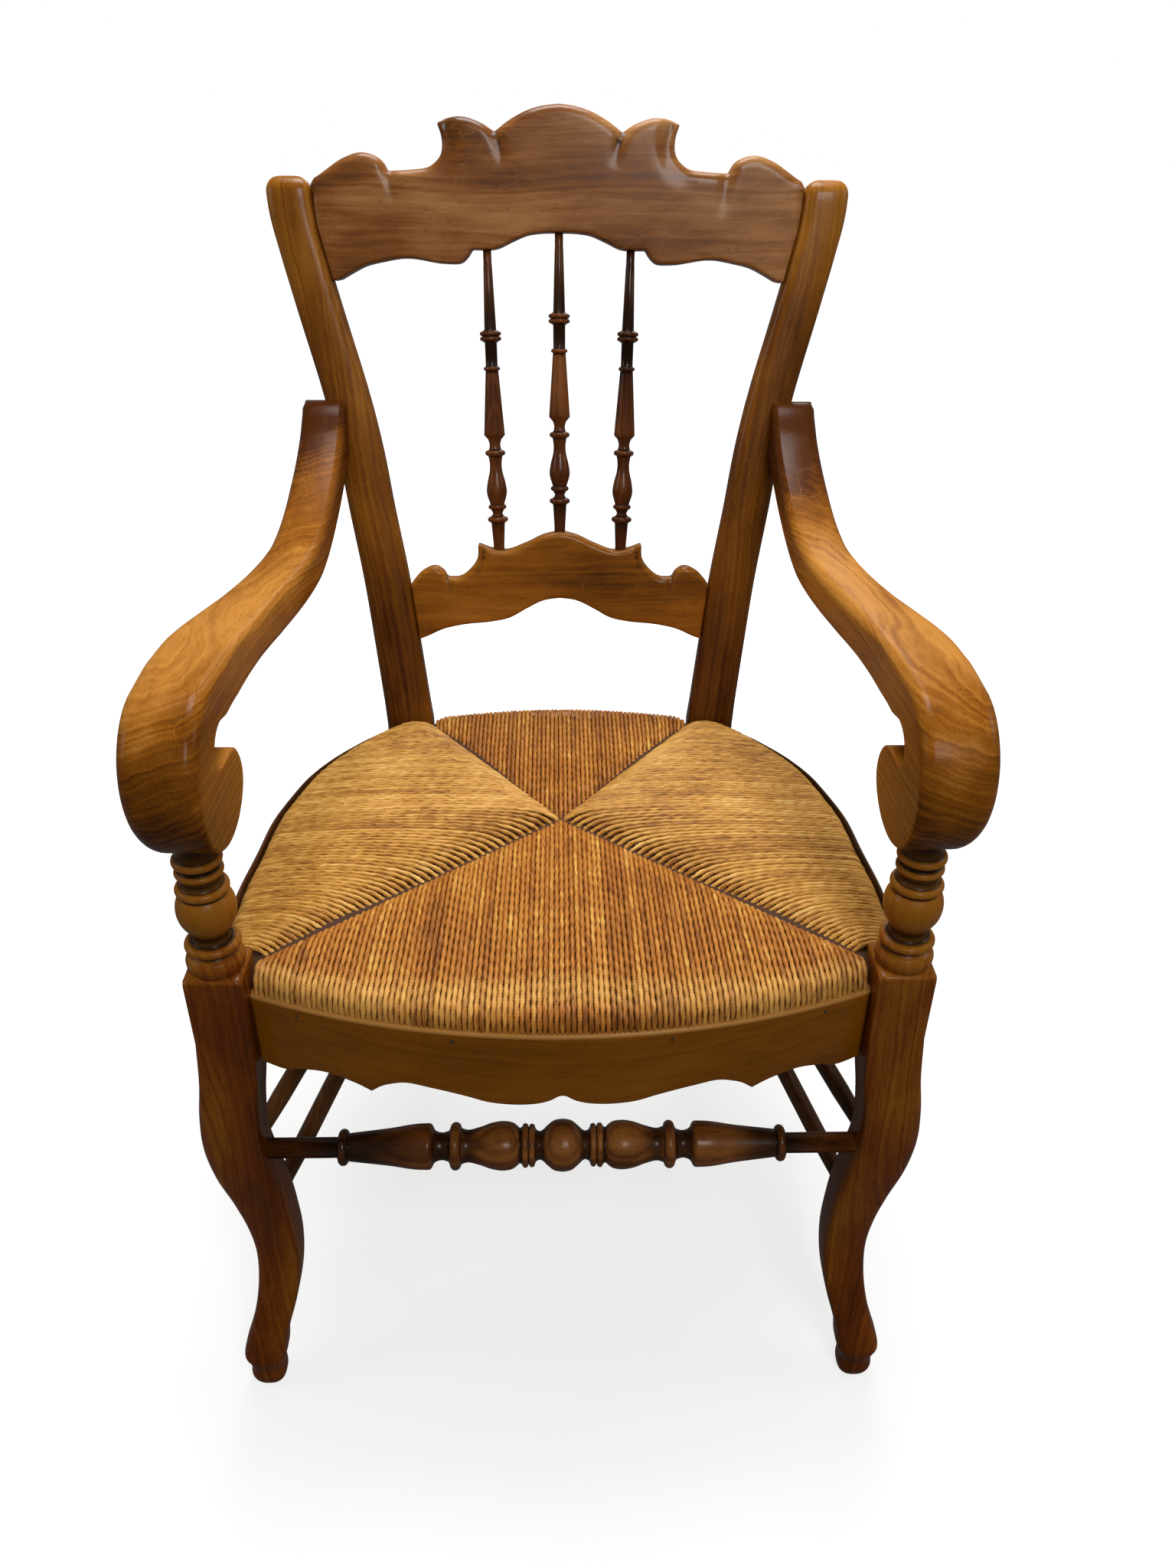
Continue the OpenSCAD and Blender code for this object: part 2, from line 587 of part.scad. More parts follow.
function edge_point(panel, u) =
    panel == 0 ? (u == 0 ? [-front_corner[0], front_corner[1]] :
        let (x = (2 * u - 1) * front_corner[0]) [x, front_edge(x)]) :
    panel == 1 ? (u == 0 ? front_corner : side_point(u)) :
    panel == 2 ? (let (x = (1 - 2 * u) * rear_corner[0]) [x, rear_edge(x)]) :
    (u == 0 ? [-rear_corner[0], rear_corner[1]] : let (p = side_point(1 - u)) [-p[0], p[1]]);
function side_point(u) =
    let (y = front_corner[1] + u * (rear_corner[1] - front_corner[1])) [side_x(y), y];
rim = [for (panel = [0 : 3]) for (u = shares) [panel, u, edge_point(panel, u)]];
panel_width = [2 * front_corner[0], seat_depth, 2 * rear_corner[0], seat_depth];
seam_reach = 18;
function seam_drop(q, t) =
    let (d = t * min(q[1], 1 - q[1]) * panel_width[q[0]]) seam_depth * pow(max(0, 1 - d / seam_reach), 2);
soft_edge = 0.42 * rush_t;
function inward(p, inset) =
    let (v = [0, cross_y] - p) p + v * inset / norm(v);
function rush_ring(t) =
    [for (q = rim) let (p = inward(q[2], soft_edge), c = [0, cross_y])
        [c[0] + t * (p[0] - c[0]), c[1] + t * (p[1] - c[1]),
            seat_h + rush_crown * (1 - t * t) - seam_drop(q, t) * (1 - pow(t, 6))]];
function edge_ring(inset, drop) = [for (q = rim) let (p = inward(q[2], inset)) [p[0], p[1], seat_h - drop]];
// Round edge, as shares of the thickness: how far in, and how far down
roll = [[0.36, 1], [0.15, 0.93], [0.03, 0.72], [0, 0.45], [0.045, 0.22], [0.18, 0.06]];
module rush_body() {
    loft(concat(
        [for (k = roll) edge_ring(k[0] * rush_t, k[1] * rush_t)],
        [for (t = [1, 0.86, 0.7, 0.5, 0.3, 0.12, 0.02]) rush_ring(t)]));
}
module rush_seat() {
    color(straw) in_chair() difference() {
        rush_body();
        for (side = [-1, 1]) on_side(side) {
            translate([front_half - block_w / 2 - rush_gap, -block_w, 0])
                cube([2 * block_w, 1.5 * block_w + rush_gap, seat_h + block_h]);
            translate([back_half - post_w / 2 - rush_gap, seat_depth - rush_gap, 0])
                cube([post_w + 2 * rush_gap, 2 * post_t, seat_h + block_h]);
            side_rail_bar(rush_gap);
            side_band_bar(rush_gap);
        }
        front_rail_bar(rush_gap);
        rear_rail_bar(rush_gap);
        apron_board(rush_gap, apron_h);
    }
}

// Seat rails: bars that follow the rush's outline, tenoned into the legs and posts. The long rails'
// tenons sit low and the side rails' round ones high, so they pass each other in the blocks. The
// front tenon starts ahead of its rail's back face, and the rear one behind its rail's front face
rail_cover = 5;
rail_back = block_w / 2 + 1;
rail_tenon_l = 14;
rail_tenon_t = 7.5;
rail_tenon_low = 1;
front_tenon_in = 14;
rear_tenon_in = 1;
rear_rail_set = 0.5;
side_tenon_l = 13;
side_tenon_d = 8;
side_tenon_drop = 1.5;
module slab(z, h) translate([0, 0, z]) linear_extrude(h) children();
module long_tenon(reach, y, gap) {
    translate([-reach - gap, y - gap, rail_foot + rail_tenon_low - gap])
        cube([2 * (reach + gap), rail_tenon_t + 2 * gap, rail_tenon_t + 2 * gap]);
}
module front_rail_bar(gap) {
    end = chord + (gap > 0 ? 1 : -butt);
    slab(rail_foot - gap, rail_h + 2 * gap) intersection() {
        translate([-end, -block_w * 2]) square([2 * end, block_w * 2 + rail_back + gap]);
        translate([0, bow_y]) circle(r = bow_r - apron_t - rail_cover + gap, $fn = 180);
    }
}
module front_rail_tenon(gap) long_tenon(chord + rail_tenon_l, rail_back - front_tenon_in, gap);
module seat_rail_front() {
    color(oak) in_chair() {
        front_rail_bar(0);
        front_rail_tenon(0);
    }
}
module rear_rail_bar(gap) {
    end = back_half - post_w / 2 + (gap > 0 ? 1 : -butt);
    slab(rail_foot - gap, rail_h + 2 * gap) intersection() {
        translate([-end, seat_depth + rear_rail_set - gap]) square([2 * end, post_t + 2 * gap]);
        translate([0, rear_corner[1] + rear_bow - rail_cover - rear_r]) circle(r = rear_r + gap, $fn = 180);
    }
}
module rear_rail_tenon(gap)
    long_tenon(back_half - post_w / 2 + rail_tenon_l, seat_depth + rear_rail_set + rear_tenon_in, gap);
module seat_rail_rear() {
    color(oak) in_chair() {
        rear_rail_bar(0);
        rear_rail_tenon(0);
    }
}
function rail_width(y) = lookup(y / seat_depth, [[0, 12], [0.06, 13], [0.3, 24], [1, 24]]);
function rail_inset(y) = lookup(y / seat_depth, [[0, 4], [0.3, rail_cover], [0.9, rail_cover], [1, 4]]);
side_steps = [for (k = [0 : 16]) block_w / 2 + butt + k / 16 * (seat_depth - block_w / 2 - 2 * butt)];
module side_rail_bar(gap) {
    ends = gap > 0 ? 1 : 0;
    outer = [for (y = side_steps) [side_x(y) - rail_inset(y) + gap, y]];
    inner = [for (y = side_steps) [side_x(y) - rail_inset(y) - rail_width(y) - gap, y]];
    n = len(side_steps) - 1;
    slab(rail_foot - gap, rail_h + 2 * gap) polygon(concat(
        [outer[0] - [0, ends]], outer, [outer[n] + [0, ends], inner[n] + [0, ends]],
        backwards(inner), [inner[0] - [0, ends]]));
}
module side_rail_tenons(gap) {
    n = len(side_steps) - 1;
    root = 3;
    z = rail_top - side_tenon_d / 2 - side_tenon_drop;
    for (k = [0, n]) {
        y = side_steps[k];
        x = side_x(y) - rail_inset(y) - rail_width(y) / 2;
        translate([x, y + (k == 0 ? -side_tenon_l - gap : -root), z])
            rotate([-90, 0, 0]) cylinder(d = side_tenon_d + 2 * gap, h = side_tenon_l + root + gap);
    }
}
module seat_rail_side(side) {
    color(oak) in_chair() on_side(side) {
        side_rail_bar(0);
        side_rail_tenons(0);
    }
}

// Bent strip outside the rush, from the leg block to the front of the post
module side_band_bar(gap) {
    inner = [for (y = side_steps) [side_x(y) - gap, y]];
    outer = [for (y = side_steps) [side_x(y) + band_t, y]];
    slab(band_top - band_h - gap, band_h + 2 * gap) polygon(concat(inner, backwards(outer)));
}
module side_band(side) {
    color(walnut) in_chair() on_side(side) side_band_bar(0);
}

// Apron: bowed board with a scalloped lower edge, as [share of the half length, share of the height]
apron_low = [
    [[0, 0.81], [0.025, 0.83]],
    [[0.025, 0.83], [0.05, 0.93], [0.15, 0.985], [0.23, 0.97], [0.31, 0.9], [0.42, 0.83], [0.5, 0.8],
        [0.56, 0.86], [0.62, 1]],
    [[0.62, 1], [0.68, 0.92], [0.78, 0.86], [0.85, 0.9], [0.92, 0.97], [1, 0.94]]];
function apron_line() = scaled(apron_low, chord, 0, 1);
module apron_board(gap, depth) {
    intersection() {
        difference() {
            translate([0, bow_y, apron_top - depth - 2 * gap])
                cylinder(r = bow_r + gap, h = depth + 3 * gap, $fn = 360);
            translate([0, bow_y, apron_top - depth - 1 - 2 * gap])
                cylinder(r = bow_r - apron_t - gap, h = depth + 2 + 3 * gap, $fn = 360);
        }
        half = chord + (gap > 0 ? 1 : -butt);
        translate([-half, -2 * block_w, 0]) cube([2 * half, 4 * block_w, seat_h]);
    }
}
apron_tenon_l = 10;
apron_tenon_t = 7;
module apron_tenon(gap) {
    reach = chord + apron_tenon_l + gap;
    y = -apron_set + (apron_t - apron_tenon_t) / 2;
    translate([-reach, y - gap, apron_top - 0.66 * apron_h - gap])
        cube([2 * reach, apron_tenon_t + 2 * gap, 0.5 * apron_h + 2 * gap]);
}
module apron_shape() {
    line = [for (p = apron_line()) [p[0], apron_top - p[1] * apron_h]];
    left = backwards(flipped(line));
    translate([0, block_w, 0]) rotate([90, 0, 0]) linear_extrude(4 * block_w) polygon(concat(
        [[-chord - 20, apron_top + 5]], [[-chord - 20, left[0][1]]], left,
        [for (i = [1 : len(line) - 1]) line[i]],
        [[chord + 20, line[len(line) - 1][1]], [chord + 20, apron_top + 5]]));
}
module front_apron() {
    color(oak) in_chair() difference() {
        union() {
            intersection() {
                apron_board(0, apron_h);
                apron_shape();
            }
            for (side = [-1, 1]) on_side(side) intersection() {
                apron_tenon(0);
                translate([chord - 8, -block_w, 0]) cube([40, 2 * block_w, seat_h]);
            }
        }
        apron_nail_set(fit / 2);
    }
}

// Small nails through the apron's upper edge, spread by their angle about the bow's centre
nail_d = 3;
nail_l = 6;
nail_drop = 9;
nail_angles = [-19, -7.6, 7.6, 19];
module apron_nail_set(gap) {
    for (a = nail_angles) translate([0, bow_y, apron_top - nail_drop]) rotate([90, 0, a])
        translate([0, 0, bow_r - nail_l]) cylinder(d = nail_d + 2 * gap, h = nail_l + gap);
}

// Stretchers
module rung(ends) {
    v = ends[1] - ends[0];
    l = norm(v);
    r = rung_d / 2;
    e = rung_end_d / 2;
    translate(ends[0]) rotate([0, acos(v[2] / l), atan2(v[1], v[0])]) turned(concat(
        [[e, 0], [e, rung_in + 6]],
        smooth([[r - 0.4, rung_in + 40], [r, l / 2], [r - 0.4, l - rung_in - 40]], 2),
        [[e, l - rung_in - 6], [e, l]]));
}
module side_rung(side, z) {
    color(oak) in_chair() on_side(side) rung(side_rung_ends(z));
}
module rear_rung(gap) {
    reach = foot_x(rear_rung_z) - foot_width(rear_rung_z) / 2 + rung_in - 3;
    at = foot_y(rear_rung_z);
    if (gap > 0) rod_between([-reach, at, rear_rung_z], [reach, at, rear_rung_z], rung_end_d + 2 * gap, gap);
    else rung([[-reach, at, rear_rung_z], [reach, at, rear_rung_z]]);
}
module rear_stretcher() {
    color(oak) in_chair() rear_rung(0);
}
function stretcher_profile() =
    let (r = front_stretcher_d / 2, e = rung_d / 2, u = (stretcher_half - rung_in) / 244)
    concat(
        [[e, -stretcher_half], [e, -187 * u]],
        bead(-182 * u, 0.7 * r, 8 * u),
        [[0.53 * r, -177 * u]],
        smooth([[0.54 * r, -176 * u], [0.7 * r, -145 * u], [0.87 * r, -115 * u], [0.86 * r, -110 * u],
            [0.6 * r, -106 * u], [0.52 * r, -100 * u], [0.58 * r, -95 * u]]),
        bead(-89 * u, 0.91 * r, 9 * u),
        smooth([[0.68 * r, -84 * u], [0.62 * r, -80 * u], [0.7 * r, -70 * u], [0.88 * r, -58 * u],
            [0.93 * r, -49 * u], [0.86 * r, -41 * u], [0.66 * r, -35.5 * u]]),
        bead(-31 * u, 0.84 * r, 5 * u),
        bead(-25.5 * u, 0.82 * r, 5 * u),
        smooth([[0.6 * r, -22 * u], [0.54 * r, -19 * u], [0.6 * r, -16 * u]]),
        smooth([[0.72 * r, -13.5 * u], [0.94 * r, -7 * u], [r, 0]], 3));
module front_stretcher() {
    left = stretcher_profile();
    right = [for (i = [len(left) - 2 : -1 : 0]) [left[i][0], -left[i][1]]];
    color(walnut) in_chair() translate([0, stretcher_y, front_stretcher_z]) rotate([0, 90, 0])
        turned(concat(left, right));
}

front_leg(-1);  // front_leg_left
front_leg(1);  // front_leg_right
back_post(-1);  // back_post_left
back_post(1);  // back_post_right
arm(-1);  // arm_left
arm(1);  // arm_right
crest_rail();
lower_back_rail();
spindle(-1);  // spindle_left
spindle(0);  // spindle_centre
spindle(1);  // spindle_right
seat_rail_front();
seat_rail_rear();
seat_rail_side(-1);  // seat_rail_left
seat_rail_side(1);  // seat_rail_right
rush_seat();
front_apron();
side_band(-1);  // side_band_left
side_band(1);  // side_band_right
front_stretcher();
side_rung(-1, upper_rung_z);  // upper_stretcher_left
side_rung(1, upper_rung_z);  // upper_stretcher_right
side_rung(-1, lower_rung_z);  // lower_stretcher_left
side_rung(1, lower_rung_z);  // lower_stretcher_right
rear_stretcher();
union() {  // arm_screws
    color(steel) in_chair() for (side = [-1, 1]) on_side(side) arm_screw(0);
}
union() {  // crest_pegs
    color(oak) in_chair() for (side = [-1, 1]) on_side(side) crest_peg(0);
}
union() {  // apron_nails
    color(steel) in_chair() apron_nail_set(0);
}
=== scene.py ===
import math
import random

import bmesh
import bpy
import numpy as np
from mathutils import Matrix, Vector
from mathutils.geometry import delaunay_2d_cdt


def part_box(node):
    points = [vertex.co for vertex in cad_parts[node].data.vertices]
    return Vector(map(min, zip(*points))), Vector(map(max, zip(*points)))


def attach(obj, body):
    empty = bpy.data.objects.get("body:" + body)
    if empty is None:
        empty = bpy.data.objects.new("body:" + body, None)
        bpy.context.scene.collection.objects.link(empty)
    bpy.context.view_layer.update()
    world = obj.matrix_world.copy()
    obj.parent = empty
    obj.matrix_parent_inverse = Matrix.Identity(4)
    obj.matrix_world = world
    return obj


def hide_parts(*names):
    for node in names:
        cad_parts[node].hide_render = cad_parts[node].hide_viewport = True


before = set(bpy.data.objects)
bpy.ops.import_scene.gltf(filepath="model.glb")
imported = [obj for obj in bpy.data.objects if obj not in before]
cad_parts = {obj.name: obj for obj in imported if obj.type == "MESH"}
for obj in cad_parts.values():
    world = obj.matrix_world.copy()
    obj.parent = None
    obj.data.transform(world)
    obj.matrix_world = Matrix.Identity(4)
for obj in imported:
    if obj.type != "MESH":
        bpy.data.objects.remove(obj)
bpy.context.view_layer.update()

# Floor, lamps and camera. The chair stands on a white studio floor under a large softbox, with a
# second one high in front and weak ones at the sides and behind. The camera stands before it, a
# little above the crest, and looks down on the seat.


def srgb(code):
    """A colour written as sRGB hex, as the linear values that a shader takes."""
    parts = [int(code[i:i + 2], 16) / 255 for i in (1, 3, 5)]
    return tuple(c / 12.92 if c < 0.04045 else ((c + 0.055) / 1.055) ** 2.4 for c in parts) + (1.0,)


def node(tree, kind, inputs=None, **settings):
    """Adds a node. An input is a value, an output socket, or a node, of which the first output in
    use is taken."""
    made = tree.nodes.new(kind)
    for key, value in settings.items():
        setattr(made, key, value)
    for key, value in (inputs or {}).items():
        if isinstance(value, bpy.types.Node):
            value = next(output for output in value.outputs if output.enabled)
        if isinstance(value, bpy.types.NodeSocket):
            tree.links.new(value, made.inputs[key])
        else:
            made.inputs[key].default_value = value
    return made


def new_material(name):
    """An empty material and its node tree."""
    material = bpy.data.materials.new(name)
    material.use_nodes = True
    material.node_tree.nodes.clear()
    return material, material.node_tree


def placed(name, data):
    """A new object in the scene."""
    made = bpy.data.objects.new(name, data)
    bpy.context.scene.collection.objects.link(made)
    return made


def sees_background(tree):
    """How much of the white background a ray sees: all of it for the camera and through glass, and a
    part of it in polish, so that dark varnish stays deep."""
    in_polish = 0.1
    rays = node(tree, "ShaderNodeLightPath").outputs
    clear = node(tree, "ShaderNodeMath", {0: rays["Is Camera Ray"], 1: rays["Is Transmission Ray"]},
                 operation="MAXIMUM")
    return node(tree, "ShaderNodeMath", {0: rays["Is Glossy Ray"], 1: in_polish, 2: clear},
                operation="MULTIPLY_ADD", use_clamp=True)


def studio_paper():
    """Matt white paper that keeps a faint shadow. It glows for the camera, more so far away where the
    lamps don't reach, and the chair gets little light back from it."""
    material, tree = new_material("studio_paper_matt_white")
    place = node(tree, "ShaderNodeTexCoord").outputs["Object"]
    away = node(tree, "ShaderNodeVectorMath", {0: place}, operation="LENGTH")
    glow = node(tree, "ShaderNodeMapRange", {"Value": away, "From Min": 0.25, "From Max": 1.2,
                                             "To Min": 0.69, "To Max": 1.0})
    paper = node(tree, "ShaderNodeBsdfDiffuse", {"Color": srgb("#a4a4a3")})
    lift = node(tree, "ShaderNodeEmission", {"Color": srgb("#ffffff"), "Strength": glow})
    both = node(tree, "ShaderNodeAddShader", {0: paper, 1: lift})
    bounce = node(tree, "ShaderNodeBsdfDiffuse", {"Color": srgb("#4c4a48")})
    mix = node(tree, "ShaderNodeMixShader", {0: sees_background(tree), 1: bounce, 2: both})
    node(tree, "ShaderNodeOutputMaterial", {"Surface": mix})
    return material


floor_reach = 9.0
floor_corners = [(x * floor_reach, y * floor_reach, 0) for x, y in ((-1, -1), (1, -1), (1, 1), (-1, 1))]
floor_mesh = bpy.data.meshes.new("studio_floor")
floor_mesh.from_pydata(floor_corners, [], [(0, 1, 2, 3)])
floor_mesh.materials.append(studio_paper())
studio_floor = placed("studio_floor", floor_mesh)

world = bpy.data.worlds.new("studio_air")
bpy.context.scene.world = world
world.use_nodes = True
air = world.node_tree
air.nodes.clear()
air_fill = node(air, "ShaderNodeBackground", {"Color": srgb("#fff4e8"), "Strength": 0.11})
air_white = node(air, "ShaderNodeBackground", {"Color": srgb("#ffffff"), "Strength": 1.0})
air_mix = node(air, "ShaderNodeMixShader", {0: sees_background(air), 1: air_fill, 2: air_white})
node(air, "ShaderNodeOutputWorld", {"Surface": air_mix})


def soft_lamp(name, place, aim, size, power):
    """A square softbox at a place, turned towards an aim."""
    data = bpy.data.lights.new(name, "AREA")
    data.shape = "SQUARE"
    data.size = size
    data.energy = power
    lamp = placed(name, data)
    lamp.location = place
    lamp.rotation_euler = (Vector(aim) - Vector(place)).to_track_quat("-Z", "Y").to_euler()


soft_lamp("softbox_above", (0, 0.6, 2.55), (0, 0, 0.45), 1.0, 40)
soft_lamp("softbox_front", (0.5, -1.9, 2.3), (0, 0, 0.6), 0.8, 25)
soft_lamp("softbox_left", (-2.1, -0.3, 1.5), (0, 0, 0.6), 0.8, 6)
soft_lamp("softbox_right", (2.1, 0.1, 1.6), (0, 0, 0.6), 0.8, 6)
soft_lamp("softbox_behind", (0.3, 2.1, 1.7), (0, 0, 0.5), 1.0, 8)

photo_height = 2048
focal_pixels = 1615.66
film_height = 24
camera_place = (-0.0023, -0.9592, 1.0756)
camera_pitch = 0.5653
camera_yaw = 0.0278
camera_roll = -0.0111
camera_data = bpy.data.cameras.new("photograph_camera")
camera_data.sensor_fit = "VERTICAL"
camera_data.sensor_height = film_height
camera_data.lens = film_height * focal_pixels / photo_height
camera = placed("photograph_camera", camera_data)
ahead = Vector((math.sin(camera_yaw) * math.cos(camera_pitch),
                math.cos(camera_yaw) * math.cos(camera_pitch), -math.sin(camera_pitch)))
level = Vector((math.cos(camera_yaw), -math.sin(camera_yaw), 0))
down = ahead.cross(level)
right = math.cos(camera_roll) * level + math.sin(camera_roll) * down
down = math.cos(camera_roll) * down - math.sin(camera_roll) * level
turn = Matrix((right, -down, -ahead)).transposed()
camera.matrix_world = Matrix.Translation(camera_place) @ turn.to_4x4()
bpy.context.scene.camera = camera
bpy.context.scene.view_settings.view_transform = "Standard"

# Front legs. Each is one piece of dark stained hardwood: a cabriole leg with a hoof foot, the
# square block that takes the seat rails, and on top of it the turned support of the arm. The
# cabriole was sawn and spokeshaved, and the support was turned on the same stock.

MM = 0.001
both_sides = (("left", -1), ("right", 1))
stretcher_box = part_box("front_stretcher")
stretcher_y = -12
leg_axis_y = (stretcher_box[0].y + stretcher_box[1].y) / 2 - stretcher_y * MM
front_half = 261
block_w = 44
block_foot = 393
block_top = 455
support_foot = block_top + 7
arm_under = 577


def in_chair(points):
    """Millimetres from the front legs' axis, as metres in the frame."""
    return np.array(points, float) * MM + [0, leg_axis_y, 0]


def smooth(rows, steps=6, table=False):
    """A smooth line through points. In a table its pace follows the first value of each row."""
    p = np.array(rows, float)
    gaps = np.abs(np.diff(p[:, 0])) if table else np.linalg.norm(np.diff(p, axis=0), axis=1)
    gaps = np.maximum(gaps, 1e-4)
    slopes = np.diff(p, axis=0) / gaps[:, None]
    before, after = gaps[:-1, None], gaps[1:, None]
    between = (slopes[:-1] * after + slopes[1:] * before) / (before + after)
    tangents = np.vstack([slopes[:1], between, slopes[-1:]])
    line = []
    for i, gap in enumerate(gaps):
        for t in np.arange(steps) / steps:
            line.append((2 * t**3 - 3 * t**2 + 1) * p[i] + (t**3 - 2 * t**2 + t) * gap * tangents[i]
                        + (3 * t**2 - 2 * t**3) * p[i + 1] + (t**3 - t**2) * gap * tangents[i + 1])
    return np.vstack(line + [p[-1]])


def lookup(value, table, column=1):
    return np.interp(value, table[:, 0], table[:, column])


def section(width, depth, corner, count=64):
    """A rectangle with worn corners, as a superellipse with the same diagonal."""
    a, b = width / 2, depth / 2
    flat = max(0.5 - math.log2(math.sqrt(2) - (math.sqrt(2) - 1) * min(1, corner / min(a, b))), 0.04)
    angles = (np.arange(count) + 0.5) / count * 2 * math.pi
    c, s = np.cos(angles), np.sin(angles)
    return np.stack([a * np.sign(c) * np.abs(c)**(2 * flat), b * np.sign(s) * np.abs(s)**(2 * flat)], 1)


def at_height(outline, z):
    """A flat outline as a level ring in space."""
    return np.column_stack([outline, np.full(len(outline), z)])


def walls(rows, n):
    """Faces between rows of n points that each close on themselves."""
    return [(j * n + i, j * n + (i + 1) % n, (j + 1) * n + (i + 1) % n, (j + 1) * n + i)
            for j in range(rows - 1) for i in range(n)]


def loft(rings):
    """A closed skin over rings of equally many points."""
    n = len(rings[0])
    last = (len(rings) - 1) * n
    ends = [tuple(range(n))[::-1], tuple(range(last, last + n))]
    return np.vstack(rings), ends[:1] + walls(len(rings), n) + ends[1:]


def turned(profile, sides=64):
    """A turned form about Z, from [radius, height] rows."""
    angles = np.arange(sides) / sides * 2 * math.pi
    circle = np.stack([np.cos(angles), np.sin(angles)], 1)
    return loft([at_height(r * circle, z) for r, z in profile])


def bead(z, r, h, steps=10):
    """A half-round bead of a turning."""
    angles = np.linspace(-math.pi / 2, math.pi / 2, steps + 1)
    return np.stack([r - h / 2 + h / 2 * np.cos(angles), z + h / 2 * np.sin(angles)], 1)


def on_side(side, *shells):
    """Shells of the right side (1) as they are, or mirrored to the left (-1)."""
    return [(points * [side, 1, 1], [f[::side] for f in faces]) for points, faces in shells]


def piece(name, shells, material, cad_node):
    """One object made of closed shells. It rides on the chair and stands for its CAD node."""
    bm = bmesh.new()
    for points, faces in shells:
        verts = [bm.verts.new(p) for p in in_chair(points)]
        for f in faces:
            bm.faces.new([verts[i] for i in f])
    bmesh.ops.recalc_face_normals(bm, faces=bm.faces)
    mesh = bpy.data.meshes.new(name)
    bm.to_mesh(mesh)
    bm.free()
    mesh.materials.append(material)
    mesh.shade_smooth()
    made = placed(name, mesh)
    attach(made, "root")
    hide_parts(cad_node)


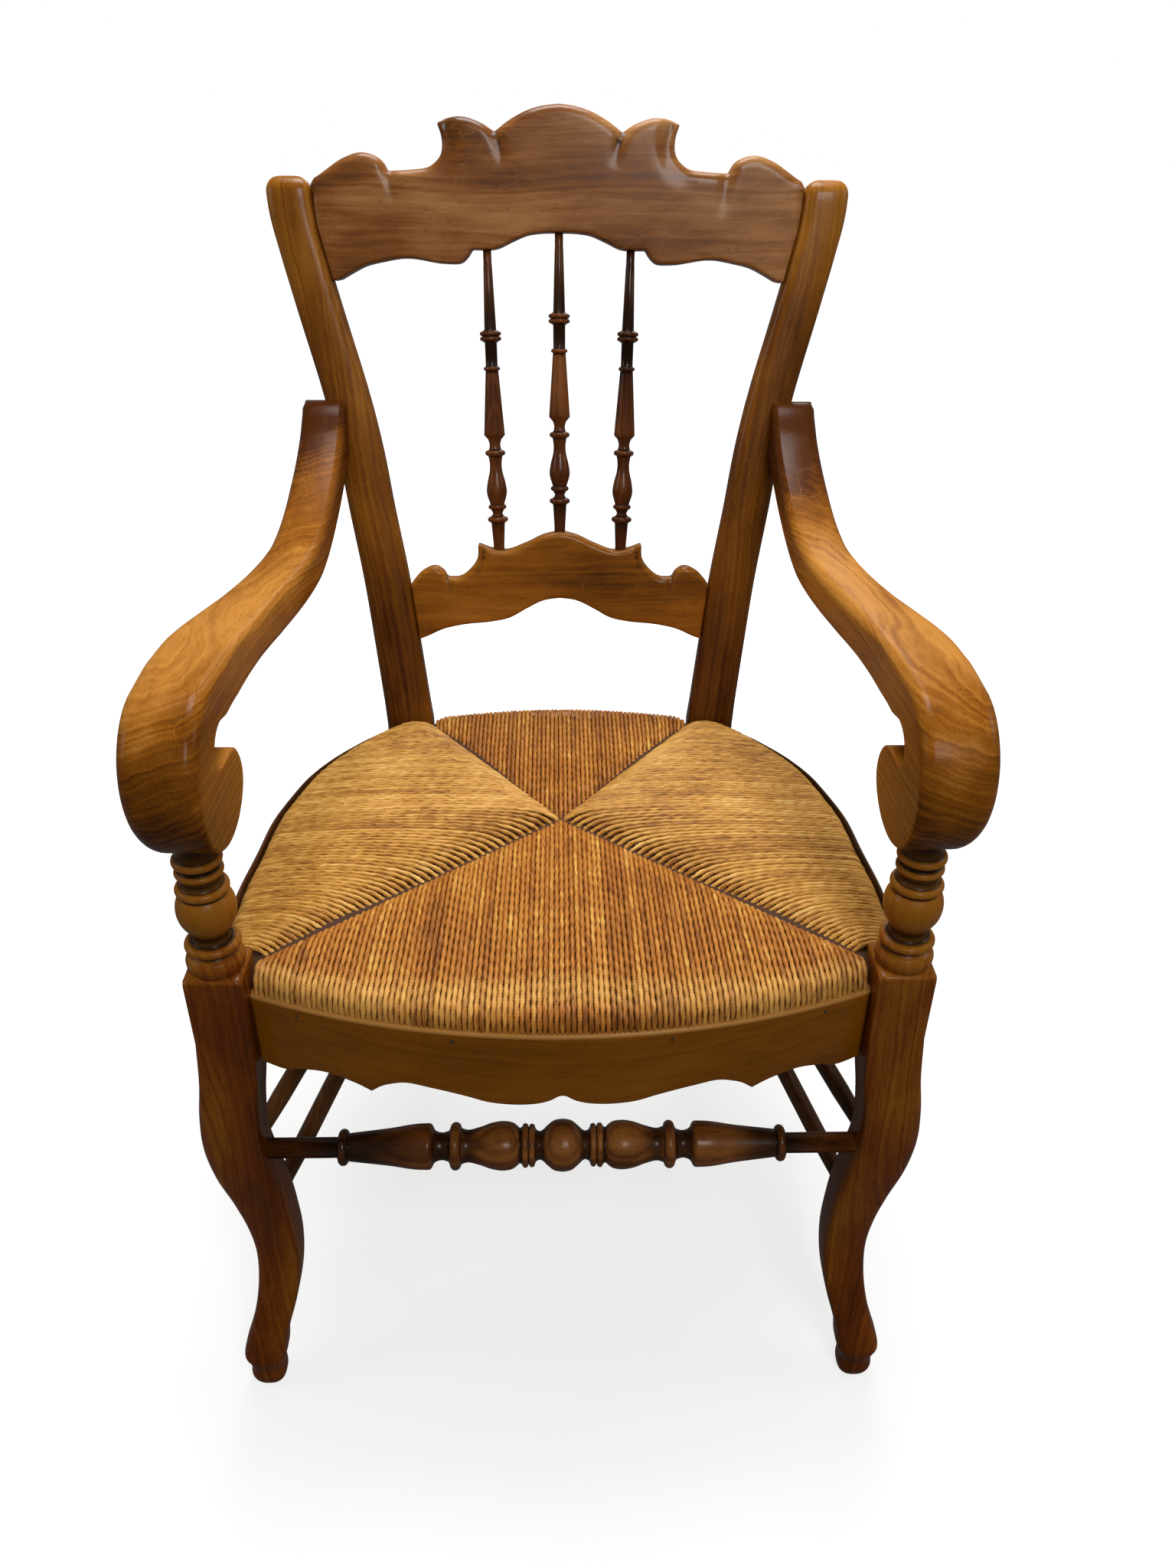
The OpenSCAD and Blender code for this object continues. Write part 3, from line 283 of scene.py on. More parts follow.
def varnished_wood(name, pale, mid, dark, grain=(0, 0, 0), pith=(0.09, 0.05, 0), ring=3.2, bite=0.55,
                   patchy=1.5, gloss=0.26, polish=1.0, seed=0.0, thin_stain_and_light=None, coves=None,
                   highlight_above=None):
    """Close-grained fruitwood or walnut, stained by hand, varnished and wax-polished. Growth rings of
    uneven width run round a pith outside the piece, so sawn faces show arches. The stain took in
    patches, short dark flecks and fine fibres lie along the grain, a century of wax and painted shade
    sit dark in the hollows, edges are pale from abrasion and a painted highlight, and the gloss is
    broken by scuffs and fine scratches. Less polish means a thinner varnish. Round a given place the
    wood is paler and further off darker, partly stain thinned by hands and partly painted light and
    shade; wax and painted shade are black in the coves of a turning, above a height; and a painted
    highlight lies pale along an edge above another height."""
    # Black of old wax and painted shade, for hollows and coves; pale of a painted highlight, for an edge
    # band
    dark_wax_and_shade = "#1a0d05"
    edge_highlight_colour = "#c8924e"
    material, tree = new_material(name)
    place = node(tree, "ShaderNodeTexCoord").outputs["Object"]
    along = node(tree, "ShaderNodeMapping", {"Vector": place, "Rotation": grain,
                                             "Location": (pith[0], pith[1], pith[2] + seed)})

    # Growth rings, the given millimetres wide, round a pith that sways by 15 mm over 7 cm
    slow = node(tree, "ShaderNodeMapping", {"Vector": along, "Scale": (1, 1, 0.3)})
    sway = node(tree, "ShaderNodeTexNoise", {"Vector": slow, "Scale": 15, "Detail": 4})
    swing = node(tree, "ShaderNodeVectorMath", {0: sway.outputs["Color"], 1: (0.5, 0.5, 0.5)},
                 operation="SUBTRACT")
    bent = node(tree, "ShaderNodeVectorMath", {0: swing, 1: (0.03, 0.03, 0.03), 2: along},
                operation="MULTIPLY_ADD")
    level = node(tree, "ShaderNodeVectorMath", {0: bent, 1: (1, 1, 0)}, operation="MULTIPLY")
    radius = node(tree, "ShaderNodeVectorMath", {0: level}, operation="LENGTH")
    rings = node(tree, "ShaderNodeTexNoise", {"W": radius, "Scale": 1 / (ring * MM), "Detail": 2,
                                              "Roughness": 0.6}, noise_dimensions="1D")

    # Patches of stain 6 cm wide, and fibres 1.4 mm wide and 36 mm long, coarse enough to show
    blotch = node(tree, "ShaderNodeTexNoise", {"Vector": slow, "Scale": 16, "Detail": 5,
                                               "Roughness": 0.6})
    fibre_place = node(tree, "ShaderNodeMapping", {"Vector": along, "Scale": (700, 700, 28)})
    fibre = node(tree, "ShaderNodeTexNoise", {"Vector": fibre_place, "Scale": 1, "Detail": 3,
                                              "Roughness": 0.6})
    fibrous = 0.28
    depth = 0.5 * (1 - patchy - bite - fibrous)
    for pattern, weight in ((blotch, patchy), (rings, bite), (fibre, fibrous)):
        depth = node(tree, "ShaderNodeMath", {0: pattern, 1: weight, 2: depth},
                     operation="MULTIPLY_ADD")
    # Paler round a given place and darker further off: partly stain thinned by hands, partly painted light
    # and shade
    if thin_stain_and_light:
        spot, reach, far_tone, near_tone = thin_stain_and_light
        away = node(tree, "ShaderNodeVectorMath", {0: place, 1: spot}, operation="DISTANCE")
        thin_stain_and_light_tone = node(tree, "ShaderNodeMapRange", {
            "Value": away, "From Min": reach, "From Max": 0.3 * reach, "To Min": far_tone,
            "To Max": near_tone})
        depth = node(tree, "ShaderNodeMath", {0: depth, 1: thin_stain_and_light_tone}, operation="ADD")
    tone = node(tree, "ShaderNodeValToRGB", {"Fac": depth})
    stops = tone.color_ramp.elements
    stops.new(0.5)
    for stop, position, colour in zip(stops, (0.12, 0.5, 0.86), (dark, mid, pale)):
        stop.position = position
        stop.color = srgb(colour)

    # Flecks 3 mm apart across the grain and 13 mm along it
    fleck_place = node(tree, "ShaderNodeMapping", {"Vector": along, "Scale": (330, 330, 75)})
    fleck_cells = node(tree, "ShaderNodeTexVoronoi", {"Vector": fleck_place, "Scale": 1})
    fleck = node(tree, "ShaderNodeMapRange", {"Value": fleck_cells, "From Min": 0.17, "From Max": 0.08,
                                              "To Max": 0.6})

    # Scratches and cracks of the varnish: edges of crumpled cells 4 cm wide, in some places only
    crumpled = node(tree, "ShaderNodeVectorMath", {0: swing, 1: (0.12, 0.12, 0.12), 2: place},
                    operation="MULTIPLY_ADD")
    cracks = node(tree, "ShaderNodeTexVoronoi", {"Vector": crumpled, "Scale": 26},
                  feature="DISTANCE_TO_EDGE")
    line = node(tree, "ShaderNodeMapRange", {"Value": cracks, "From Min": 0.018, "From Max": 0.004})
    here = node(tree, "ShaderNodeMapRange", {"Value": sway, "From Min": 0.54, "From Max": 0.6,
                                             "To Max": 0.22})
    scratch = node(tree, "ShaderNodeMath", {0: line, 1: here}, operation="MULTIPLY")

    # Old wax and painted shade in the hollows, and bare wood with a painted highlight on the edges
    relief = node(tree, "ShaderNodeNewGeometry").outputs["Pointiness"]
    hollow = node(tree, "ShaderNodeMapRange", {"Value": relief, "From Min": 0.497, "From Max": 0.468,
                                               "To Max": 0.9})
    pale_edge_and_highlight = node(tree, "ShaderNodeMapRange", {"Value": relief, "From Min": 0.53, "From Max": 0.62,
                                               "To Max": 0.4})
    covers = [(fleck, dark), (scratch, pale), (hollow, dark_wax_and_shade), (pale_edge_and_highlight, pale)]
    if coves or highlight_above:
        height = node(tree, "ShaderNodeSeparateXYZ", {0: place}).outputs["Z"]
    # Old wax and painted shade, black in the coves of a turning above its foot
    if coves:
        centre, axis, least, most, foot = coves
        off_axis = node(tree, "ShaderNodeVectorMath", {0: place, 1: centre}, operation="SUBTRACT")
        across = node(tree, "ShaderNodeVectorMath", {0: off_axis, 1: axis}, operation="CROSS_PRODUCT")
        thick = node(tree, "ShaderNodeVectorMath", {0: across}, operation="LENGTH")
        thin = node(tree, "ShaderNodeMapRange", {"Value": thick, "From Min": most,
                                                 "From Max": most - 3 * MM, "To Max": 0.8})
        on_turning = node(tree, "ShaderNodeMapRange", {"Value": thick, "From Min": least - 2 * MM,
                                                       "From Max": least})
        above = node(tree, "ShaderNodeMath", {0: height, 1: foot}, operation="GREATER_THAN")
        cove_wax_and_shade = node(tree, "ShaderNodeMath", {0: thin, 1: on_turning}, operation="MULTIPLY")
        black = node(tree, "ShaderNodeMath", {0: cove_wax_and_shade, 1: above}, operation="MULTIPLY")
        covers.append((black, dark_wax_and_shade))
    # A painted highlight: pale along an edge above a given height
    if highlight_above:
        edge = node(tree, "ShaderNodeMapRange", {
            "Value": height, "From Min": highlight_above - 0.5 * MM, "From Max": highlight_above + 0.5 * MM,
            "To Max": 0.7})
        covers.append((edge, edge_highlight_colour))
    colour = tone
    for share, cover in covers:
        colour = node(tree, "ShaderNodeMix", {0: share, 6: colour, 7: srgb(cover)}, data_type="RGBA")

    # Gloss, and relief in millimetres: tool marks 14 mm wide, fibres, and flecks as small dents
    dull = node(tree, "ShaderNodeMapRange", {"Value": blotch, "From Min": 0.35, "From Max": 0.65,
                                             "To Min": gloss, "To Max": gloss + 0.2})
    scuffed = node(tree, "ShaderNodeMath", {0: scratch, 1: 0.3, 2: dull}, operation="MULTIPLY_ADD")
    marks = node(tree, "ShaderNodeTexNoise", {"Vector": place, "Scale": 70, "Detail": 2})
    normal = {}
    for pattern, strength, deep, sunk in ((marks, 0.5, 0.5, False), (fibre, 0.2, 0.15, False),
                                          (fleck, 0.3, 0.1, True)):
        normal["Normal"] = node(tree, "ShaderNodeBump", {
            "Height": pattern, "Strength": strength, "Distance": deep * MM, **normal}, invert=sunk)
    wood = node(tree, "ShaderNodeBsdfPrincipled", {
        "Base Color": colour, "Roughness": scuffed, "IOR": 1.5, "Specular IOR Level": 0.12 * polish,
        "Coat Weight": 0.18 * polish, "Coat Roughness": 0.17, "Coat IOR": 1.5, **normal})
    node(tree, "ShaderNodeOutputMaterial", {"Surface": wood})
    return material


# Share of the height, shift outwards and along the seat's depth, width, depth and corner of a section
leg_line = smooth([
    [0, 8, -41, 20, 21, 9],
    [0.005, 8, -41.2, 25, 26, 10],
    [0.014, 8, -41.5, 28.5, 29.5, 11],
    [0.032, 8.5, -42, 31, 32, 12],
    [0.056, 8.5, -41, 29.5, 32, 12],
    [0.074, 8.5, -39.8, 32.5, 35, 12],
    [0.093, 8.5, -38, 38, 38.5, 12],
    [0.112, 7.5, -36, 37.5, 38, 12],
    [0.13, 6, -34, 35.5, 37, 11],
    [0.16, 2.5, -29, 34.5, 36, 10],
    [0.22, -4, -20, 35.5, 36, 9],
    [0.285, -8.5, -12.5, 37, 37, 9],
    [0.36, -10, -6.5, 38, 37.5, 9],
    [0.45, -7.5, -5, 40, 39.5, 9],
    [0.53, -2.5, -5, 44.5, 42, 10],
    [0.62, 5, -6.5, 49, 45, 12],
    [0.71, 9, -8, 50, 45.5, 13],
    [0.8, 7, -7, 49.5, 45, 11],
    [0.89, 2.5, -3.5, 47, 44.5, 6],
    [1, 0, 0, 44, 44, 2.5]], 6, table=True)
# Height over the block's top, and how far from the axis its corners reach
shoulder = [(-12, 40), (-5, 31.5), (-2, 30.6), (0, 29), (1.5, 26), (2.4, 22), (2.6, 15)]
support_h = arm_under - support_foot
support_profile = np.vstack([
    [[10, -12], [19, -6]],
    smooth([[20.5, -5], [21.8, -1], [22, 4], [20, 8]], 5),
    smooth([[17.6, 8.5], [15.4, 11], [17, 13]], 5),
    bead(17, 21, 7),
    smooth([[14.5, 21.5], [13, 25], [14.5, 29]], 5),
    smooth([[15.8, 31], [20.5, 40], [22, 50], [20.5, 58], [17.2, 63]], 6),
    bead(68, 19.8, 7),
    smooth([[15.4, 72.5], [14, 75.5], [15.4, 78.5]], 5),
    bead(83, 17.8, 6),
    [[14.5, 87]],
    bead(93, 18.3, 7),
    smooth([[15, 97.5], [13.6, 102], [15.8, 110]], 5),
    [[15.8, support_h + 12], [10, support_h + 16]]])


def front_leg(side):
    """The cabriole leg and its block in one loft, and the turned support on top."""
    rings = []
    for share, out, deep, width, depth, corner in leg_line:
        ring = section(width, depth, corner) + [front_half + out, deep]
        rings.append(at_height(ring, share * block_foot))
    square = section(block_w, block_w, 2)
    far = np.linalg.norm(square, axis=1)
    for rise, reach in shoulder:
        ring = square * np.minimum(1, reach / far)[:, None]
        rings.append(at_height(ring + [front_half, 0], block_top + rise))
    points, faces = turned(support_profile + [0, support_foot])
    return on_side(side, loft(rings), (points + [front_half, 0, 0], faces))


for word, side in both_sides:
    support_x = side * front_half * MM
    # The turned support is paler than the leg, and its coves are black with wax and painted shade.
    wood = varnished_wood("stained_hardwood_leg_" + word, "#9e641a", "#783a0b", "#361704",
                          grain=(0.05, 0.03, 0), pith=(0.06 * side, 0.09, 0), ring=3.4, bite=0.65,
                          polish=0.7, seed=0.3 * side,
                          thin_stain_and_light=((support_x, leg_axis_y, 0.53), 0.1, 0, 0.4),
                          coves=((support_x, leg_axis_y, 0), (0, 0, 1), 0.009, 0.0178,
                                 support_foot * MM))
    piece("front_leg_and_support_" + word, front_leg(side), wood, "front_leg_" + word)

# Back posts. Each is one long piece of honey-coloured hardwood, the rear leg below the seat and a
# stile above it that leans back and flares outwards. The edges are rounded over by hand and the
# top end is domed. Crest, lower rail and arms are fixed to it.

seat_h = 448
seat_depth = 383
back_half = 154.5
lean = math.radians(13.3)
back_grain = 0.23
post_l = 508
post_w = 47
post_t = 28
post_flare = 88.5
post_taper = 6
post_dome = 14
rear_foot_splay = np.array([5.5, 32])
rear_foot_taper = 14
# Share of the stile's length, and share of its flare
post_line = smooth([[0, 0], [0.145, 0.096], [0.29, 0.198], [0.43, 0.328], [0.53, 0.412], [0.61, 0.503],
                    [0.784, 0.763], [0.873, 0.893], [0.938, 0.977], [1, 1.005]], 4, table=True)
# Share of the rear leg's height, and share of its splay and taper
foot_line = smooth([[0, 1], [0.3, 0.62], [0.6, 0.24], [0.87, 0.02], [1, 0]], 6, table=True)
foot_top = seat_h - 58


def post_x(s):
    return back_half + post_flare * lookup(s / post_l, post_line)


def post_width(s):
    return post_w - post_taper * s / post_l


def leaned(points):
    """Points of the back's own leaning plane, in the chair."""
    x, out, up = points.T
    return np.stack([x, seat_depth + out * math.cos(lean) + up * math.sin(lean),
                     seat_h - out * math.sin(lean) + up * math.cos(lean)], 1)


def stile_ring(s, shrink=0.0):
    ring = section(post_width(s) - 2 * shrink, post_t - 2 * shrink, max(9.5 - shrink, 3))
    return leaned(at_height(ring + [post_x(s), post_t / 2], s))


def back_post(side):
    """The rear leg from the floor to the seat, and the leaning stile above it."""
    rings = []
    foot = [back_half, seat_depth + post_t / 2]
    for z in np.concatenate([[0, 1.5, 4], np.linspace(12, foot_top, 40)]):
        share = lookup(z / foot_top, foot_line)
        shrink = max(0, 3 - z) * 0.7
        ring = section(post_w - rear_foot_taper * share - 2 * shrink, post_t - 2 * shrink, 6)
        rings.append(at_height(ring + foot + rear_foot_splay * share, z))
    rings.append(at_height(section(post_w, post_t, 7) + foot, seat_h - 4))
    rings += [stile_ring(s) for s in np.linspace(22, post_l - post_dome, 70)]
    for a in np.radians([15, 30, 45, 60, 72, 82]):
        end = post_l - post_dome * (1 - math.sin(a))
        rings.append(stile_ring(end, post_dome * (1 - math.cos(a))))
    return on_side(side, loft(rings))


for (word, side), seed in zip(both_sides, (0.0, 0.7)):
    # Paler near the top of the stile and darker further down.
    wood = varnished_wood("stained_hardwood_post_" + word, "#a86c1e", "#7f4a0e", "#4a2408",
                          grain=(back_grain, -0.12 * side, 0), pith=(-0.3 * side, -0.1, 0), ring=4,
                          seed=seed, thin_stain_and_light=((0.243 * side, 0.278, 0.939), 0.24, -0.15, 0.25))
    piece("back_post_and_rear_leg_" + word, back_post(side), wood, "back_post_" + word)

# Scroll arms. Each was sawn from one thick plank of honey-coloured hardwood, first in side view to
# the scroll and then in plan to the sweep, and rounded over. In front it sits on the dowel of the
# turned support, and behind it is notched round the post and held by one screw.

scroll_r = 60
scroll_w = 53
scroll_y = -6
scroll_z = arm_under + scroll_r
arm_top = scroll_z + scroll_r
arm_rise = 58
arm_t = 36
arm_lap = 17
arm_s = (arm_top + arm_rise - arm_t - seat_h) / math.cos(lean)
arm_front_x = front_half - 4.5
arm_rear_x = post_x(arm_s) + 28
arm_rear_y = seat_depth + (arm_top + arm_rise - arm_t / 2 - seat_h) * math.tan(lean) + arm_lap
arm_run = arm_rear_y - scroll_y
# Share of the way back, share of the inward sweep, width, top as a share of the rise, thickness
arm_line = smooth([
    [-0.1, 0, 53, 0, 40], [0, -0.008, 54.2, 0, 40], [0.08, -0.025, 56.4, -0.02, 38],
    [0.19, -0.03, 59, -0.1, 38],
    [0.28, 0.1, 56, -0.19, 37], [0.37, 0.34, 50, -0.235, 36], [0.49, 0.68, 46, -0.245, 35],
    [0.6, 0.87, 43.5, -0.19, 35], [0.77, 0.95, 43, 0.17, 37], [0.89, 0.98, 42, 0.62, 44],
    [0.955, 1, 41, 1, 54], [1, 1, 41, 0.95, 48]], 8, table=True)
# Sweep and width are evened out, so that the arm bends in one long curve
for _ in range(12):
    arm_line[1:-1, 1:3] = (arm_line[:-2, 1:3] + arm_line[1:-1, 1:3] + arm_line[2:, 1:3]) / 3
# Angle from straight back, and the rim's radius as a share of the scroll's
scroll_line = smooth([[90, 1], [180, 1], [270, 1], [298, 1], [310, 0.99], [320, 0.96], [330, 0.88],
                      [340, 0.75], [350, 0.59]], 6, table=True)
# The slot inside the scroll, in along the lip, round its end and out under the arm, as (y, z)
tip_line = smooth([[24, 632.6], [17, 634.3], [9, 634.3], [2, 633.6], [-4, 634], [-8.5, 637.5],
                   [-10.5, 643.5], [-8.5, 650], [-2.5, 654.8], [7, 657.2], [22, 658]], 5)


def arm_outline():
    """Side view of an arm as (y, z): back along the top, round the scroll, and back underneath."""
    share = arm_line[:, 0]
    top = np.stack([scroll_y + share * arm_run, arm_top + arm_line[:, 3] * arm_rise], 1)
    below = top - arm_line[:, 4:5] * [0, 1]
    degrees = np.arange(92, 349, 3)
    angles = np.radians(degrees)[:, None]
    reach = scroll_r * lookup(degrees, scroll_line)[:, None]
    rim = [scroll_y, scroll_z] + reach * np.hstack([np.cos(angles), np.sin(angles)])
    return np.vstack([top[share >= 0][:0:-1], rim, tip_line, below[share > 0.09]])


def arm_rounding(along, under):
    """How far an arm's edge is rounded: one value along the arm, another round the scroll's front
    and underside, and little at the square rear end."""
    def rounding(p):
        out = p - [scroll_y, scroll_z]
        angle = np.degrees(np.arctan2(out[:, 1], out[:, 0])) % 360
        near = np.interp(np.linalg.norm(out, axis=1), [scroll_r + 6, scroll_r + 70], [1, 0])
        turn = np.interp(angle, [0, 35, 50, 150, 215, 360], [under, under, along, along, under, under])
        rear = np.interp(arm_rear_y - p[:, 0], [6, 20], [5, along])
        return near * turn + (1 - near) * rear
    return rounding


def even(outline, step):
    """The same closed outline with points a step apart."""
    p = np.vstack([outline, outline[:1]])
    run = np.concatenate([[0], np.cumsum(np.linalg.norm(np.diff(p, axis=0), axis=1))])
    places = np.linspace(0, run[-1], int(run[-1] / step) + 1)[:-1]
    return np.stack([np.interp(places, run, p[:, k]) for k in (0, 1)], 1)


def board(outline, thickness, low_edge, high_edge, cell, steps=6):
    """A sawn board with rounded edges, as (u, v, w) points. Each face has its own rounding, which
    gives way where the wood is narrow. The faces have points a cell apart, so that the board can be
    bent or carved afterwards."""
    p = np.array(outline, float)
    area = np.sum(p[:, 0] * np.roll(p[:, 1], -1) - np.roll(p[:, 0], -1) * p[:, 1])
    if area < 0:
        p = p[::-1]
    ahead_of = np.roll(p, -1, axis=0) - np.roll(p, 1, axis=0)
    inward = np.stack([-ahead_of[:, 1], ahead_of[:, 0]], 1) / np.linalg.norm(ahead_of, axis=1)[:, None]
    # Radius of the widest circle inside the outline that touches it at each point
    apart = p[None, :, :] - p[:, None, :]
    facing = 2 * np.einsum("ijk,ik->ij", apart, inward)
    square = np.sum(apart**2, axis=2)
    room = np.where(facing > 1e-6, square / np.maximum(facing, 1e-6), 1e6).min(axis=1)
    half = thickness / 2
    n = len(p)
    points = []
    for face, edge in ((-1, low_edge), (1, high_edge)):
        limit = np.full(n, float(edge)) if np.isscalar(edge) else edge(p)
        limit = np.minimum(limit, np.minimum(0.75 * room, half - 0.2))
        for _ in range(6):
            limit = np.minimum(limit, (np.roll(limit, 1) + limit + np.roll(limit, -1)) / 3)
        for a in np.linspace(0, math.pi / 2, steps + 1)[::face]:
            inset = limit * (1 - math.cos(a))
            level = face * (half - limit * (1 - math.sin(a)))
            points.append(np.column_stack([p + inward * inset[:, None], level]))
    faces = walls(len(points), n)
    # Both faces, as triangles between the edge and loose points a cell apart
    count = len(points) * n
    for ring, face in ((0, -1), (len(points) - 1, 1)):
        edge = points[ring][:, :2]
        lo, hi = edge.min(0) + 0.5 * cell, edge.max(0)
        grid = np.array([(u, v) for row, v in enumerate(np.arange(lo[1], hi[1], cell * 0.87))
                         for u in np.arange(lo[0] + (row % 2) * cell / 2, hi[0], cell)])
        near = np.array([np.min(np.sum((edge - g)**2, axis=1)) for g in grid])
        grid = grid[near > (0.6 * cell)**2]
        loose = [Vector(q) for q in np.vstack([edge, grid])]
        made, _, cells, origins, _, _ = delaunay_2d_cdt(loose, [], [list(range(n))], 1, 1e-5)
        number_of = {}
        for k, origin in enumerate(origins):
            source = min(origin) if origin else -1
            if 0 <= source < n:
                number_of[k] = ring * n + source
        used = sorted({k for c in cells for k in c if k not in number_of})
        for k in used:
            number_of[k] = count
            count += 1
        if used:
            points.append(np.array([[made[k][0], made[k][1], face * half] for k in used]))
        faces += [tuple(number_of[k] for k in c) for c in cells]
    return np.vstack(points), faces


def arm(side):
    """The board in side view, swept inwards in plan and widened towards the scroll. The edge on the
    sitter's side is crisp round the scroll, and the outer one is worn round."""
    inner_edge, outer_edge = arm_rounding(9, 2.6), arm_rounding(13, 18)
    points, faces = board(even(arm_outline(), 2.4), scroll_w, inner_edge, outer_edge, 4.5, 8)
    share = np.clip((points[:, 0] - scroll_y) / arm_run, arm_line[0, 0], 1)
    middle = arm_front_x + lookup(share, arm_line, 1) * (arm_rear_x - arm_front_x)
    x = middle + points[:, 2] * lookup(share, arm_line, 2) / scroll_w
    return on_side(side, (np.column_stack([x, points[:, 0], points[:, 1]]), faces))


for (word, side), tilt, pith_y, seed in zip(both_sides, (0.12, 0.1), (0.09, 0.11), (0.0, 0.4)):
    # Paler round the scroll's top and darker towards the rear end: partly stain thinned by hands, partly
    # painted light and shade.
    wood = varnished_wood("honey_hardwood_arm_" + word, "#c48436", "#8f5411", "#4e2608",
                          grain=(math.pi / 2 + tilt, 0, -0.2 * side), pith=(-0.03 * side, pith_y, 0),
                          bite=0.52, patchy=1.2, polish=0.45, seed=seed,
                          thin_stain_and_light=((0.26 * side, -0.1, 0.7), 0.3, -0.42, 0.22))
    piece("scroll_arm_" + word, arm(side), wood, "arm_" + word)

# Crest rail. A board of dark walnut-coloured hardwood, tenoned between the posts: a dome in the
# middle, a leaf with a hooked tip on each side of it and a hump at each end. The upper edge is
# rounded over, and a gouge has cut lines down from the notches and a hollow under each hook.

crest_h = 146.4
crest_z = 420.7
crest_t = 22
crest_set = 2
post_gap = 0.15


def post_inner(s):
    return post_x(s) - post_width(s) / 2


def notched(parts, steps):
    """A line of smooth parts, with a notch or a point where two of them meet."""
    return np.vstack([smooth(part, steps)[:-1] for part in parts] + [parts[-1][-1:]])


def rail_outline(top_parts, low_parts, half, foot, height):
    """Outline of a board of the back, from one half of its top and bottom, up to the posts."""
    low, top = (notched(parts, 5) * [half, height] + [0, foot] for parts in (low_parts, top_parts))
    end = np.linspace(foot, top[-1, 1] - 5, 12)
    side = np.stack([post_inner(end) - post_gap, end], 1)
    half_line = np.vstack([low, side, top[::-1]])
    return np.vstack([half_line, half_line[-2:0:-1] * [-1, 1]])


def groove(points, path, width, depth):
    """How deep a gouge has cut at each point, fading out along its path."""
    path = smooth(path, 8)
    reach = np.linalg.norm(points[:, None, :] - path[None, :, :], axis=2)
    nearest = reach.argmin(axis=1)
    fade = 1 - nearest / (len(path) - 1)
    return depth * fade * np.exp(-(reach.min(axis=1) / width)**2)


crest_half = post_inner(crest_z + 0.55 * crest_h)
crest_top = [
    [[0, 1], [0.061, 0.989], [0.12, 0.965], [0.184, 0.92], [0.257, 0.846]],
    [[0.257, 0.846], [0.307, 0.891], [0.391, 0.926], [0.45, 0.912], [0.484, 0.884]],
    [[0.484, 0.884], [0.47, 0.818], [0.482, 0.698], [0.523, 0.649], [0.6, 0.632], [0.686, 0.625]],
    [[0.686, 0.625], [0.72, 0.695], [0.791, 0.726], [0.864, 0.695], [0.93, 0.635], [0.985, 0.578]]]
crest_low = [
    [[0, 0.284], [0.068, 0.282], [0.127, 0.27], [0.191, 0.232], [0.257, 0.189], [0.357, 0.184]],
    [[0.357, 0.184], [0.373, 0.145], [0.405, 0.106], [0.455, 0.102], [0.641, 0.133], [0.727, 0.112],
     [0.795, 0.088], [0.85, 0.049], [0.9, 0.008]]]


def carved_board(top, low, half, foot, height, thickness, set_back, edges, cuts):
    """A board of the back with gouged cuts in its front. Its edges are rounded by how high they lie:
    little below the first share of the height, and widely above the second."""
    def rounding(p):
        return np.interp((p[:, 1] - foot) / height, *edges)

    outline = even(rail_outline(top, low, half, foot, height), 2.2)
    points, faces = board(outline, thickness, rounding, rounding, 3.2)
    face = np.column_stack([np.abs(points[:, 0]), points[:, 1] - foot])
    depth = np.zeros(len(points))
    for path, width, deep in cuts:
        depth = np.maximum(depth, groove(face, np.array(path) * [half, height], width, deep))
    front = np.clip(-points[:, 2] / (thickness / 2), 0, 1)
    out = set_back + thickness / 2 + points[:, 2] + depth * front
    return [(leaned(np.column_stack([points[:, 0], out, points[:, 1]])), faces)]


crest_edges = ([0.3, 0.5], [2.0, 8.0])
crest_cuts = [
    ([[0.257, 0.846], [0.238, 0.76], [0.222, 0.64]], 4.5, 3.4),
    ([[0.45, 0.88], [0.435, 0.76], [0.46, 0.65], [0.54, 0.58]], 7.5, 4.0),
    ([[0.686, 0.625], [0.672, 0.52], [0.66, 0.36]], 5.5, 2.2)]
crest = carved_board(crest_top, crest_low, crest_half, crest_z, crest_h, crest_t, crest_set, crest_edges,
                     crest_cuts)
# The right end is paler as a painted sheen.
crest_wood = varnished_wood("walnut_crest_rail", "#b07c48", "#864f1b", "#40200a",
                            grain=(back_grain, math.pi / 2, 0), pith=(0.16, 0.02, 0), ring=6.0,
                            bite=0.4, patchy=2.0, gloss=0.32, polish=1.3,
                            thin_stain_and_light=((0.22, 0.28, 0.93), 0.28, -0.04, 0.17))
piece("crest_rail_carved", crest, crest_wood, "crest_rail")

# Lower back rail. A shallower board of the same make but honey-coloured, tenoned between the posts:
# a raised middle that the spindles stand on, a small hooked leaf on each side and a hump at the
# posts, with the same rounded edge and gouged lines.

lower_h = 106.9
lower_z = 86.3
lower_t = 20
lower_set = 4
lower_half = post_inner(lower_z + 0.5 * lower_h)
lower_top = [
    [[0, 1], [0.097, 0.971], [0.228, 0.889], [0.366, 0.827], [0.448, 0.841], [0.541, 0.88]],
    [[0.541, 0.88], [0.55, 0.75], [0.59, 0.663], [0.679, 0.577], [0.752, 0.577]],
    [[0.752, 0.577], [0.78, 0.64], [0.831, 0.678], [0.917, 0.635], [0.975, 0.555]]]
lower_low = [
    [[0, 0.385], [0.103, 0.365], [0.228, 0.284], [0.345, 0.197], [0.462, 0.163], [0.655, 0.135],
     [0.793, 0.091], [0.89, 0.03]]]
lower_edges = ([0.35, 0.5], [3.0, 5.5])
lower_cuts = [
    ([[0.50, 0.85], [0.52, 0.72], [0.56, 0.6], [0.62, 0.52]], 2.6, 2.6),
    ([[0.752, 0.577], [0.735, 0.48], [0.73, 0.38]], 2.8, 2.2)]
